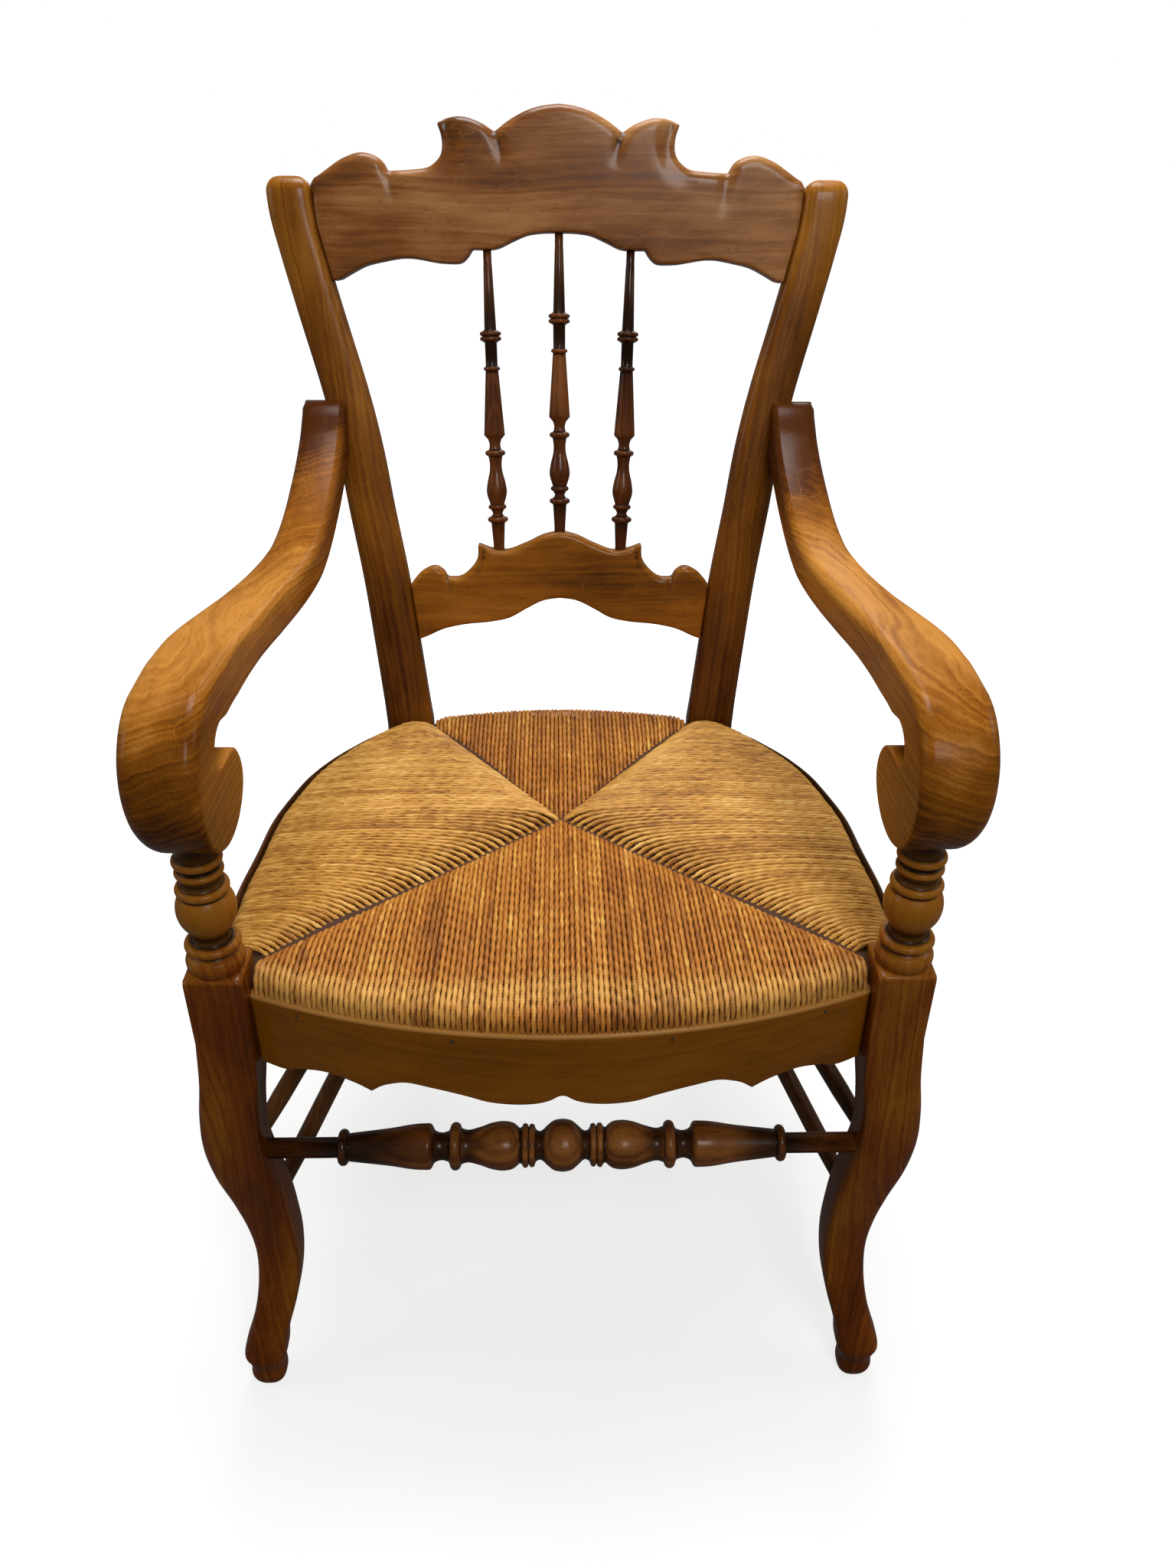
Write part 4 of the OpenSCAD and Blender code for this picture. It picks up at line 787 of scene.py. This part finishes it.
lower_rail = carved_board(lower_top, lower_low, lower_half, lower_z, lower_h, lower_t, lower_set,
                          lower_edges, lower_cuts)
rail_wood = varnished_wood("honey_hardwood_lower_rail", "#b47424", "#925710", "#4c2a08",
                           grain=(back_grain, math.pi / 2, 0), pith=(0.1, 0.03, 0), ring=5.0, bite=0.4)
piece("lower_back_rail_carved", lower_rail, rail_wood, "lower_back_rail")

# Spindles. Three slim turnings of dark polished hardwood, pegged into the lower rail and the crest.
# The two outer ones spread a little towards the top. Beads and coves were cut with the skew, and
# the coves are dark with stain and painted shade.

spindle_low = 60
spindle_top = 66
spindle_in = 13
spindle_y = 13
spindle_r = 10
lower_edge = smooth(lower_top[0], 5) * [lower_half, lower_h] + [0, lower_z]
crest_edge = smooth(crest_low[0], 5) * [crest_half, crest_h] + [0, crest_z]


def spindle(side):
    """One spindle, drawn 272 mm long and scaled to the space between the rails."""
    foot = lookup(abs(side) * spindle_low, lower_edge)
    head = lookup(abs(side) * spindle_top, crest_edge)
    rise = head - foot
    u, r = rise / 272, spindle_r
    profile = np.vstack([
        [[5.4, -spindle_in], [5.4, 4 * u], [0.66 * r, 25 * u]],
        bead(29 * u, r, 5 * u),
        smooth([[0.6 * r, 32.5 * u], [0.48 * r, 35 * u], [0.6 * r, 37.5 * u]]),
        bead(41 * u, 0.88 * r, 4.5 * u),
        smooth([[0.7 * r, 44 * u], [0.985 * r, 55 * u], [0.86 * r, 65 * u], [0.62 * r, 75 * u],
                [0.58 * r, 82 * u], [0.66 * r, 88 * u]]),
        bead(92 * u, 0.975 * r, 5 * u),
        smooth([[0.58 * r, 95.5 * u], [0.52 * r, 100 * u], [0.64 * r, 104.5 * u]]),
        [[0.97 * r, 108.2 * u], [r, 109 * u]],
        np.stack([np.linspace(0.985 * r, 0.62 * r, 12), np.linspace(111 * u, 165 * u, 12)], 1),
        bead(169 * u, 0.78 * r, 3.5 * u),
        [[0.56 * r, 172 * u], [0.57 * r, 192 * u]],
        bead(195.5 * u, r, 4 * u),
        bead(200 * u, r, 4 * u),
        [[0.56 * r, 203.5 * u], [4.0, rise - 14], [3.8, rise - 12], [3.8, rise + spindle_in]]])
    points, faces = turned(profile, 40)
    tilt = math.atan((spindle_top - spindle_low) / rise) * side
    x = side * spindle_low + points[:, 0] * math.cos(tilt) + points[:, 2] * math.sin(tilt)
    z = foot - points[:, 0] * math.sin(tilt) + points[:, 2] * math.cos(tilt)
    return [(leaned(np.column_stack([x, points[:, 1] + spindle_y, z])), faces)]


spindle_wood = varnished_wood("dark_turned_hardwood", "#8c5222", "#5c3012", "#261106",
                              grain=(back_grain, 0, 0), pith=(0.05, 0.04, 0), ring=3.5, gloss=0.18)
for word, side in (("left", -1), ("centre", 0), ("right", 1)):
    piece(f"turned_spindle_{word}", spindle(side), spindle_wood, f"spindle_{word}")

# Seat rails. Plain oak bars inside the rush, tenoned into the legs and posts. They show only where
# a tenon enters, so they keep their CAD shape and get raw, waxed oak.

oak = varnished_wood("plain_oak_rail", "#8a6236", "#6d4a26", "#402a14", grain=(0, math.pi / 2, 0),
                     pith=(0.05, 0.05, 0), ring=2.5, gloss=0.5)


def dress_cad_piece(name, material):
    """Gives its material to a CAD piece that keeps its shape."""
    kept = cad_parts[name]
    kept.data.materials.clear()
    kept.data.materials.append(material)


for word in ("front", "rear", "left", "right"):
    dress_cad_piece(f"seat_rail_{word}", oak)

# Rush seat. Cords twisted by hand from dried bulrush, about four millimetres thick, wound over the
# four rails so that they meet in mitred seams from the corners to the crossing. The side cords lie
# over the front and rear ones at the seams, and every cord turns over its rail and runs back
# underneath. A dark stuffing of broken rush fills the space between.

cord_d = 4.3
twist = 24
rush_t = 33
roll = 14
crossing_y = 212.0
front_seam = np.array([234, 20.0])
rear_seam = np.array([129, 383.0])
# Half the width of the front and rear cords at the edge, and of the ones at the rear seam's corner
front_cords = 236
rear_cords = 128.5
rear_corner_cords = 130
apron_r = 619
front_bow_r = apron_r - 1.5
front_bow_y = 564
rear_edge_y = 396.5
rear_half = 138
rear_bow = 18
side_start = 26
side_run = 354
side_bulge = 58.5
# Share of the way back, and share of the bulge out of the straight line from leg to post
side_line = smooth([(k * seat_depth, front_half + (back_half - front_half) * k + b * side_bulge)
                    for k, b in [(0.029, -0.22), (0.08, 0.16), (0.235, 0.547), (0.431, 0.81),
                                 (0.564, 0.974), (0.653, 1), (0.773, 0.962), (0.89, 0.7),
                                 (0.974, 0.337), (1.035, -0.22)]], 8, table=True)


def front_edge(x):
    return front_bow_y - np.sqrt(front_bow_r**2 - x**2)


def rear_edge(x):
    return rear_edge_y + rear_bow * (1 - (x / rear_half)**2)


def side_edge(y):
    return lookup(y, side_line)


def straight_cord(edge, seam_x, corner):
    """A straight cord from its edge to the point of a seam that has this x."""
    seam = np.array([seam_x, np.interp(abs(seam_x), [0, corner[0]], [crossing_y, corner[1]])])
    tug = (seam - edge) / 3
    return edge, edge + tug, seam - tug, seam


def cord_plan(panel, t):
    """Plan of one cord from its edge to its seam, as four control points of a curve."""
    if panel == "front":
        x = front_cords * (2 * t - 1)
        gather = math.copysign(5 * math.sin(math.pi * abs(x) / front_cords), x)
        seam_x = x * front_seam[0] / front_cords - gather
        return straight_cord(np.array([x, front_edge(x)]), seam_x, front_seam)
    if panel == "rear":
        x = rear_cords * (2 * t - 1)
        seam_x = x * rear_seam[0] / rear_corner_cords
        return straight_cord(np.array([x, rear_edge(x)]), seam_x, rear_seam)
    y = side_start + side_run * t
    middle = 0.545
    edge = np.array([side_edge(y), y])
    if t < middle:
        q = t / middle
        start_y = front_seam[1] + 3
        seam_y = start_y + (crossing_y - start_y) * q - 11 * math.sin(math.pi * q)
        seam_y = max(seam_y, front_seam[1] + 3 * q)
        seam_x = np.interp(seam_y, [front_seam[1], crossing_y], [front_seam[0], 0])
    else:
        q = (t - middle) / (1 - middle)
        seam_y = crossing_y + (rear_seam[1] - 3 - crossing_y) * q
        seam_x = np.interp(seam_y, [crossing_y, rear_seam[1]], [0, rear_seam[0]])
    seam = np.array([seam_x, seam_y])
    length = np.linalg.norm(seam - edge)
    start = edge + 0.4 * length * np.array([-1, 0.06])
    end = seam + min(0.35 * length, 34) * np.array([1, 0.42 if t < middle else 0.30])
    return edge, start, end, seam


def cord_path(panel, t):
    """One cord in space: along the top, over the rail and back underneath. A side cord tucks its
    end down past the seam, and the rear cords rise in the middle."""
    p0, p1, p2, p3 = cord_plan(panel, t)
    sides = panel == "side"
    r = cord_d / 2
    fine = np.linspace(0, 1, 60)[:, None]
    rest = 1 - fine
    plan = rest**3 * p0 + 3 * rest**2 * fine * p1 + 3 * rest * fine**2 * p2 + fine**3 * p3
    run = np.concatenate([[0], np.cumsum(np.linalg.norm(np.diff(plan, axis=0), axis=1))])
    total = run[-1]
    lift = 4.5 * max(0, 1 - (p0[0] / rear_half)**2) if panel == "rear" else 0
    bend = min(roll, 0.8 * total)

    def at(distance, height):
        return [np.interp(distance, run, plan[:, 0]), np.interp(distance, run, plan[:, 1]), height]

    def crown(distance):
        """Height of the stuffed panel over its edge, sinking to the seam."""
        share = distance / max(total, 1)
        fill = 5.0 * math.sin(math.pi / 2 * min(1, share * 1.4))
        return fill * (1 - math.exp(-((total - distance) / 16)**2)) + lift * (1 - share)

    def steps(first, last, step):
        return np.linspace(first, last, max(int(abs(last - first) / step), 3) + 1)

    path = []
    if sides:
        tail = p3 + (p3 - p2) / np.linalg.norm(p3 - p2) * 2.6
        path.append([tail[0], tail[1], seat_h - r - 7.5])
    for distance in steps(total, bend, 3.3):
        dive, reach = (4.6, 4.2) if sides else (5.2, 5.5)
        dive *= math.exp(-((total - distance) / reach)**1.6)
        path.append(at(distance, seat_h - r + crown(distance) - dive))
    for a in np.radians(np.arange(12, 180, 12)):
        rise = rush_t / 2 - r + (crown(bend) if a < math.pi / 2 else 0)
        path.append(at(r + (bend - r) * (1 - math.sin(a)), seat_h - rush_t / 2 + rise * math.cos(a)))
    for distance in steps(bend, total, 5):
        path.append(at(distance, seat_h - rush_t + r))
    return np.array(path)


def cord_tree():
    """Geometry nodes that turn each line of a mesh into a twisted cord of two strands."""
    tree = bpy.data.node_groups.new("twisted_rush_cord", "GeometryNodeTree")
    for name, kind in (("Lines", "Geometry"), ("Cord radius", "Float"), ("Twist length", "Float"),
                       ("Flatness", "Float"), ("Finish", "Material")):
        tree.interface.new_socket(name, in_out="INPUT", socket_type="NodeSocket" + kind)
    tree.interface.new_socket("Cords", in_out="OUTPUT", socket_type="NodeSocketGeometry")
    given = node(tree, "NodeGroupInput").outputs
    lines = node(tree, "GeometryNodeMeshToCurve", {"Mesh": given["Lines"]})
    length = node(tree, "GeometryNodeSplineParameter").outputs["Length"]
    tone = node(tree, "GeometryNodeInputNamedAttribute", {"Name": "tone"}, data_type="FLOAT")
    turns = node(tree, "ShaderNodeMath", {0: length, 1: given["Twist length"]}, operation="DIVIDE")
    started = node(tree, "ShaderNodeMath", {0: turns, 1: tone}, operation="ADD")
    angle = node(tree, "ShaderNodeMath", {0: started, 1: 2 * math.pi}, operation="MULTIPLY")
    tilted = node(tree, "GeometryNodeSetCurveTilt", {"Curve": lines, "Tilt": angle})
    path = node(tree, "GeometryNodeStoreNamedAttribute",
                {"Geometry": tilted, "Name": "reach", "Value": length}, data_type="FLOAT", domain="POINT")
    circle = node(tree, "GeometryNodeCurvePrimitiveCircle", {"Resolution": 8,
                                                             "Radius": given["Cord radius"]})
    factor = node(tree, "GeometryNodeSplineParameter").outputs["Factor"]
    ring = node(tree, "GeometryNodeStoreNamedAttribute",
                {"Geometry": circle, "Name": "around", "Value": factor}, data_type="FLOAT", domain="POINT")
    squeeze = node(tree, "ShaderNodeCombineXYZ", {"X": 1.0, "Y": given["Flatness"], "Z": 1.0})
    oval = node(tree, "GeometryNodeTransform", {"Geometry": ring, "Scale": squeeze})
    cords = node(tree, "GeometryNodeCurveToMesh", {"Curve": path, "Profile Curve": oval,
                                                   "Fill Caps": True})
    soft = node(tree, "GeometryNodeSetShadeSmooth", {"Geometry": cords, "Shade Smooth": True})
    real = node(tree, "GeometryNodeRealizeInstances", {"Geometry": soft})
    dressed = node(tree, "GeometryNodeSetMaterial", {"Geometry": real, "Material": given["Finish"]})
    node(tree, "NodeGroupOutput", {"Cords": dressed})
    return tree


def twisted_rush(name, gold, amber, brown, streak):
    """Bulrush leaf twisted into cord and darkened by age: straw-coloured leaf with brown edges, the
    leaves lying at a slant along the cord, each cord a little lighter or darker than the next."""
    material, tree = new_material(name)
    reach, around, tone, roll_bleach_and_highlight = (node(tree, "ShaderNodeAttribute", attribute_name=word).outputs["Fac"]
                                 for word in ("reach", "around", "tone", "roll_bleach_and_highlight"))
    place = node(tree, "ShaderNodeTexCoord").outputs["Object"]

    # Leaves that wind once round the cord in 22 mm, with folds and brown edges along them
    slant = node(tree, "ShaderNodeMath", {0: reach, 1: 46.0, 2: around}, operation="MULTIPLY_ADD")
    leaf_place = node(tree, "ShaderNodeCombineXYZ", {"X": slant, "Y": tone, "Z": reach})
    leaf_scaled = node(tree, "ShaderNodeMapping", {"Vector": leaf_place, "Scale": (5.5, 60, 55)})
    leaf = node(tree, "ShaderNodeTexNoise", {"Vector": leaf_scaled, "Scale": 1.0, "Detail": 3,
                                             "Roughness": 0.6})
    fold = node(tree, "ShaderNodeBump", {"Height": leaf, "Strength": 0.6, "Distance": 0.5 * MM})

    # Each cord has its own tone, and the seat is lighter and darker in patches 6 cm wide
    patch = node(tree, "ShaderNodeTexNoise", {"Vector": place, "Scale": 16, "Detail": 3})
    depth = leaf
    for pattern, weight in ((tone, 0.2), (patch, 0.4)):
        depth = node(tree, "ShaderNodeMath", {0: pattern, 1: weight, 2: depth},
                     operation="MULTIPLY_ADD")
    share = node(tree, "ShaderNodeMapRange", {"Value": depth, "From Min": 0.55, "From Max": 1.03})
    shades = node(tree, "ShaderNodeValToRGB", {"Fac": share})
    stops = shades.color_ramp.elements
    for position in (0.45, 0.78):
        stops.new(position)
    for stop, colour in zip(stops, (brown, amber, streak, gold)):
        stop.color = srgb(colour)

    # Bare straw where the front roll is abraded, and a painted highlight where the cords turn over it
    straw_share = node(tree, "ShaderNodeMath", {0: share, 1: 0.8, 2: 0.15}, operation="MULTIPLY_ADD")
    pale_edge_and_highlight = node(tree, "ShaderNodeMath", {0: roll_bleach_and_highlight, 1: straw_share}, operation="MULTIPLY")
    bleached_and_highlit = node(tree, "ShaderNodeMix", {0: pale_edge_and_highlight, 6: shades, 7: srgb("#e9b45e")}, data_type="RGBA")
    straw = node(tree, "ShaderNodeBsdfPrincipled", {
        "Base Color": bleached_and_highlit, "Roughness": 0.45, "Normal": fold, "IOR": 1.48, "Specular IOR Level": 0.35})
    node(tree, "ShaderNodeOutputMaterial", {"Surface": straw})
    return material


def rush_panel(name, count, material):
    """All cords of one panel as a plain mesh."""
    draw = random.Random(name)
    panel = name.split("_")[1]
    verts, edges, tones, roll_bleach_and_highlight = [], [], [], []
    for i in range(count):
        path = cord_path(panel, (i + 0.5) / count)
        if name.endswith("left"):
            path = path * [-1, 1, 1]
        path = path + [draw.uniform(-0.12, 0.12), 0, draw.uniform(-0.18, 0.12)]
        start = len(verts)
        verts += [tuple(p) for p in in_chair(path)]
        edges += [(start + k, start + k + 1) for k in range(len(path) - 1)]
        tones += [draw.random()] * len(path)
        # Abraded straw and a painted highlight on the front roll, where each cord turns over its rail
        rolled = np.linalg.norm(path[:, :2] - path[len(path) // 2, :2], axis=1)
        roll_bleach_and_highlight += list(np.interp(rolled, [6, 22], [1, 0]) * (path[:, 1] < 60))
    mesh = bpy.data.meshes.new(name + "_lines")
    mesh.from_pydata(verts, edges, [])
    for word, values in (("tone", tones), ("roll_bleach_and_highlight", roll_bleach_and_highlight)):
        mesh.attributes.new(word, "FLOAT", "POINT").data.foreach_set("value", values)
    lines = placed(name + "_lines", mesh)
    modifier = lines.modifiers.new("cords", "NODES")
    modifier.node_group = cord_maker
    settings = {"Cord radius": 0.54 * cord_d * MM, "Twist length": twist * MM, "Flatness": 0.82,
                "Finish": material}
    for given in cord_maker.interface.items_tree:
        if given.name in settings:
            modifier[given.identifier] = settings[given.name]
    bpy.context.view_layer.update()
    shown = lines.evaluated_get(bpy.context.evaluated_depsgraph_get())
    plain = bpy.data.meshes.new_from_object(shown)
    plain.name = name
    bpy.data.objects.remove(lines)
    made = placed(name, plain)
    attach(made, "root")
    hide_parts("rush_seat")


cord_maker = cord_tree()
rush_amber = twisted_rush("twisted_rush_amber", "#e6b258", "#b8722a", "#804718", "#cc8834")
# A lighter, golden copy of the same rush for the side panels: a painted sheen where the light runs along
# their cords.
rush_painted_sheen = twisted_rush("twisted_rush_gold", "#f2c673", "#cb913c", "#8e5519", "#e4ad54")
rush_panel("rush_front", 111, rush_amber)
rush_panel("rush_rear", 61, rush_amber)
rush_panel("rush_side_left", 84, rush_painted_sheen)
rush_panel("rush_side_right", 84, rush_painted_sheen)


def stuffing():
    """The dark filling just under the cords, cut out round the legs and posts."""
    inset = 3.4
    front = np.linspace(-234, 234, 40)
    side = np.linspace(26.5, 379, 40)
    rear = np.linspace(127, -127, 24)
    outline = np.vstack([
        np.column_stack([front, front_edge(front) + inset]),
        np.column_stack([side_edge(side) - inset, side]),
        np.column_stack([rear, rear_edge(rear) - inset]),
        np.column_stack([inset - side_edge(side), side])[::-1]])
    centre = [0, crossing_y]
    out = outline - centre
    reach = np.linalg.norm(out, axis=1)[:, None]
    low, high = seat_h - rush_t + 3.6, seat_h - 4.4
    rings = []
    for back, z in ((170, low), (13, low), (4, low + 3), (0.8, low + 9), (0, (low + high) / 2),
                    (1.2, high - 6), (5, high - 1.6), (12, high - 0.4), (40, high + 1.2),
                    (90, high + 2), (170, high)):
        rings.append(at_height(centre + out * (1 - np.minimum(back, reach - 3) / reach), z))
    return [loft(rings)]


def broken_rush():
    """Packed scraps of rush about 6 mm wide, brown and matt, seen only between the cords."""
    material, tree = new_material("broken_rush_filling")
    place = node(tree, "ShaderNodeTexCoord").outputs["Object"]
    scraps = node(tree, "ShaderNodeTexNoise", {"Vector": place, "Scale": 180, "Detail": 3})
    colour = node(tree, "ShaderNodeMix", {0: scraps, 6: srgb("#2a1608"), 7: srgb("#5a3516")},
                  data_type="RGBA")
    matt = node(tree, "ShaderNodeBsdfPrincipled", {"Base Color": colour, "Roughness": 0.85})
    node(tree, "ShaderNodeOutputMaterial", {"Surface": matt})
    return material


piece("rush_filling", stuffing(), broken_rush(), "rush_seat")

# Front apron. A thin board of olive-brown hardwood bowed with the seat's front, tenoned between the
# legs, with its lower edge sawn in a shallow double scallop to a point on each side of the middle.
# Its top edge is rounded, and a painted highlight makes it a pale line under the rush.

apron_t = 13
apron_h = 74
apron_top = seat_h - 17
apron_half = front_half - block_w / 2
apron_parts = [
    [[0, 0.845], [0.012, 0.855]],
    [[0.012, 0.855], [0.045, 0.925], [0.09, 0.968], [0.15, 0.985], [0.23, 0.97], [0.31, 0.9],
     [0.42, 0.83], [0.5, 0.8], [0.56, 0.86], [0.62, 1]],
    [[0.62, 1], [0.68, 0.92], [0.78, 0.86], [0.85, 0.9], [0.92, 0.97], [1, 0.94]]]


def apron():
    """The board, sawn to its outline and then bent to the bow."""
    low = notched(apron_parts, 6) * [apron_half, -apron_h] + [0, apron_top]
    half_line = np.vstack([low, [[apron_half, apron_top - 40], [apron_half, apron_top]]])
    outline = np.vstack([half_line, (half_line * [-1, 1])[::-1]])
    points, faces = board(even(outline, 3.0), apron_t, 2.4, 2.4, 8, steps=4)
    x = points[:, 0]
    y = front_bow_y - np.sqrt(apron_r**2 - x**2) + apron_t / 2 + points[:, 2]
    return [(np.column_stack([x, y, points[:, 1]]), faces)]


# The top edge band is a painted highlight.
apron_wood = varnished_wood("olive_stained_apron", "#a2661a", "#8c520a", "#5c3307",
                            grain=(0, math.pi / 2, 0), pith=(0.05, 0.06, 0), ring=4.5, bite=0.4,
                            patchy=1.2, polish=0.6, highlight_above=(apron_top - 3) * MM)
piece("front_apron_scalloped", apron(), apron_wood, "front_apron")

# Side strips. A thin strip of dark hardwood bent round the outside of the rush on each side, from
# the leg's block to the front of the post.

band_t = 4
band_h = 18
band_top = seat_h - 5


def side_strip(side):
    """The strip, bent along the side of the rush."""
    rings = []
    ring = section(band_t, band_h, 1.4, 24)
    for y in np.linspace(22.3, seat_depth - 0.2, 60):
        slope = (side_edge(y + 1) - side_edge(y - 1)) / 2
        x = side_edge(y) + band_t / 2 + ring[:, 0] / math.hypot(1, slope)
        z = band_top - band_h / 2 + ring[:, 1]
        rings.append(np.column_stack([x, np.full(len(ring), y), z]))
    return on_side(side, loft(rings))


strip_wood = varnished_wood("dark_bent_strip", "#6a4222", "#43260f", "#1d0f07", grain=(math.pi / 2, 0, 0),
                            pith=(0.04, 0.05, 0), ring=2.5, gloss=0.32)
for word, side in both_sides:
    piece("side_strip_" + word, side_strip(side), strip_wood, "side_band_" + word)

# Front stretcher. One heavy turning of dark polished hardwood between the front legs: plain round
# ends, a thin bead, long tapers to paired beads, and a ring in the middle.

stretcher_z = 266.5
stretcher_r = 21.5
rung_in = 18
stretcher_half = (stretcher_box[1].x - stretcher_box[0].x) / 2 / MM


def front_stretcher():
    """The turning, drawn 244 mm from the leg to the middle, scaled, and mirrored there."""
    r, u = stretcher_r, (stretcher_half - rung_in) / 244
    end_r = 8.5
    left = np.vstack([
        [[end_r, -stretcher_half], [end_r, -187 * u]],
        bead(-182 * u, 0.7 * r, 8 * u),
        [[0.53 * r, -177 * u]],
        smooth([[0.54 * r, -176 * u], [0.7 * r, -145 * u], [0.87 * r, -115 * u], [0.86 * r, -110 * u],
                [0.6 * r, -106 * u], [0.52 * r, -100 * u], [0.58 * r, -95 * u]], 8),
        bead(-89 * u, 0.91 * r, 9 * u),
        smooth([[0.68 * r, -84 * u], [0.62 * r, -80 * u], [0.7 * r, -70 * u], [0.88 * r, -58 * u],
                [0.93 * r, -49 * u], [0.86 * r, -41 * u], [0.66 * r, -35.5 * u]], 8),
        bead(-31 * u, 0.84 * r, 5 * u),
        bead(-25.5 * u, 0.82 * r, 5 * u),
        smooth([[0.6 * r, -22 * u], [0.54 * r, -19 * u], [0.6 * r, -16 * u]]),
        smooth([[0.72 * r, -13.5 * u], [0.94 * r, -7 * u], [r, 0]], 6)])
    profile = np.vstack([left, left[-2::-1] * [1, -1]])
    points, faces = turned(profile, 56)
    return [(points[:, [2, 1, 0]] * [1, 1, -1] + [0, stretcher_y, stretcher_z], faces)]


# The coves are black with wax and painted shade.
stretcher_wood = varnished_wood("dark_turned_stretcher", "#9a602a", "#633614", "#281206",
                                grain=(0, math.pi / 2, 0), pith=(0.05, 0.03, 0), ring=4, patchy=2.2,
                                gloss=0.2, coves=((0, leg_axis_y + stretcher_y * MM, stretcher_z * MM),
                                                  (1, 0, 0), 0.0104, 0.016, 0))
piece("front_stretcher_turned", front_stretcher(), stretcher_wood, "front_stretcher")

# Side and rear stretchers. Plain round rods of dark hardwood, a little thicker in the middle, with
# their ends in round holes in the legs.


def rod(name, material):
    """A rod along the middle of its CAD node, from end to end."""
    lo, hi = (np.array(corner) / MM - [0, leg_axis_y / MM, 0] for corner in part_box(name))
    _, middle_y, middle_z = (lo + hi) / 2
    if "rear" in name:
        ends = np.array([[lo[0], middle_y, middle_z], [hi[0], middle_y, middle_z]])
    else:
        near, far = (lo[0] + 7, hi[0] - 7) if "left" in name else (hi[0] - 7, lo[0] + 7)
        ends = np.array([[near, lo[1] + 1, middle_z], [far, hi[1] - 1, middle_z]])
    length = np.linalg.norm(ends[1] - ends[0])
    profile = np.vstack([[[7, 0], [7, rung_in + 6]],
                         smooth([[8.1, rung_in + 40], [8.5, length / 2], [8.1, length - rung_in - 40]], 8),
                         [[7, length - rung_in - 6], [7, length]]])
    points, faces = turned(profile, 32)
    along = (ends[1] - ends[0]) / length
    side = np.cross([0, 0, 1.0], along)
    side /= np.linalg.norm(side)
    lift = np.cross(along, side)
    place = points[:, :1] * side + points[:, 1:2] * lift + points[:, 2:] * along + ends[0]
    piece(name + "_rod", [(place, faces)], material, name)


side_rods = [f"{height}_stretcher_{word}" for height in ("upper", "lower") for word, _ in both_sides]
for wood_name, grain, rods in (("dark_plain_rod", (math.pi / 2, 0, 0), side_rods),
                               ("dark_plain_rod_rear", (0, math.pi / 2, 0), ["rear_stretcher"])):
    wood = varnished_wood(wood_name, "#7a4f26", "#553215", "#2a170b", grain=grain,
                          pith=(0.04, 0.03, 0), ring=3.0, gloss=0.34)
    for name in rods:
        rod(name, wood)

# Screws, nails and pegs. One slotted steel screw holds each arm to its post, four small nails show
# in the apron, and an oak peg through each post holds the crest's tenon. They keep their CAD shape.


def old_steel():
    """Mild steel gone brown with age, dull, with pits about a millimetre wide."""
    material, tree = new_material("aged_mild_steel")
    place = node(tree, "ShaderNodeTexCoord").outputs["Object"]
    pits = node(tree, "ShaderNodeTexNoise", {"Vector": place, "Scale": 900, "Detail": 3})
    colour = node(tree, "ShaderNodeMix", {0: pits, 6: srgb("#6b6259"), 7: srgb("#3a2c22")},
                  data_type="RGBA")
    rough = node(tree, "ShaderNodeMapRange", {"Value": pits, "To Min": 0.3, "To Max": 0.6})
    metal = node(tree, "ShaderNodeBsdfPrincipled", {"Base Color": colour, "Metallic": 0.9,
                                                    "Roughness": rough})
    node(tree, "ShaderNodeOutputMaterial", {"Surface": metal})
    return material


steel = old_steel()
dress_cad_piece("arm_screws", steel)
dress_cad_piece("apron_nails", steel)
dress_cad_piece("crest_pegs", oak)
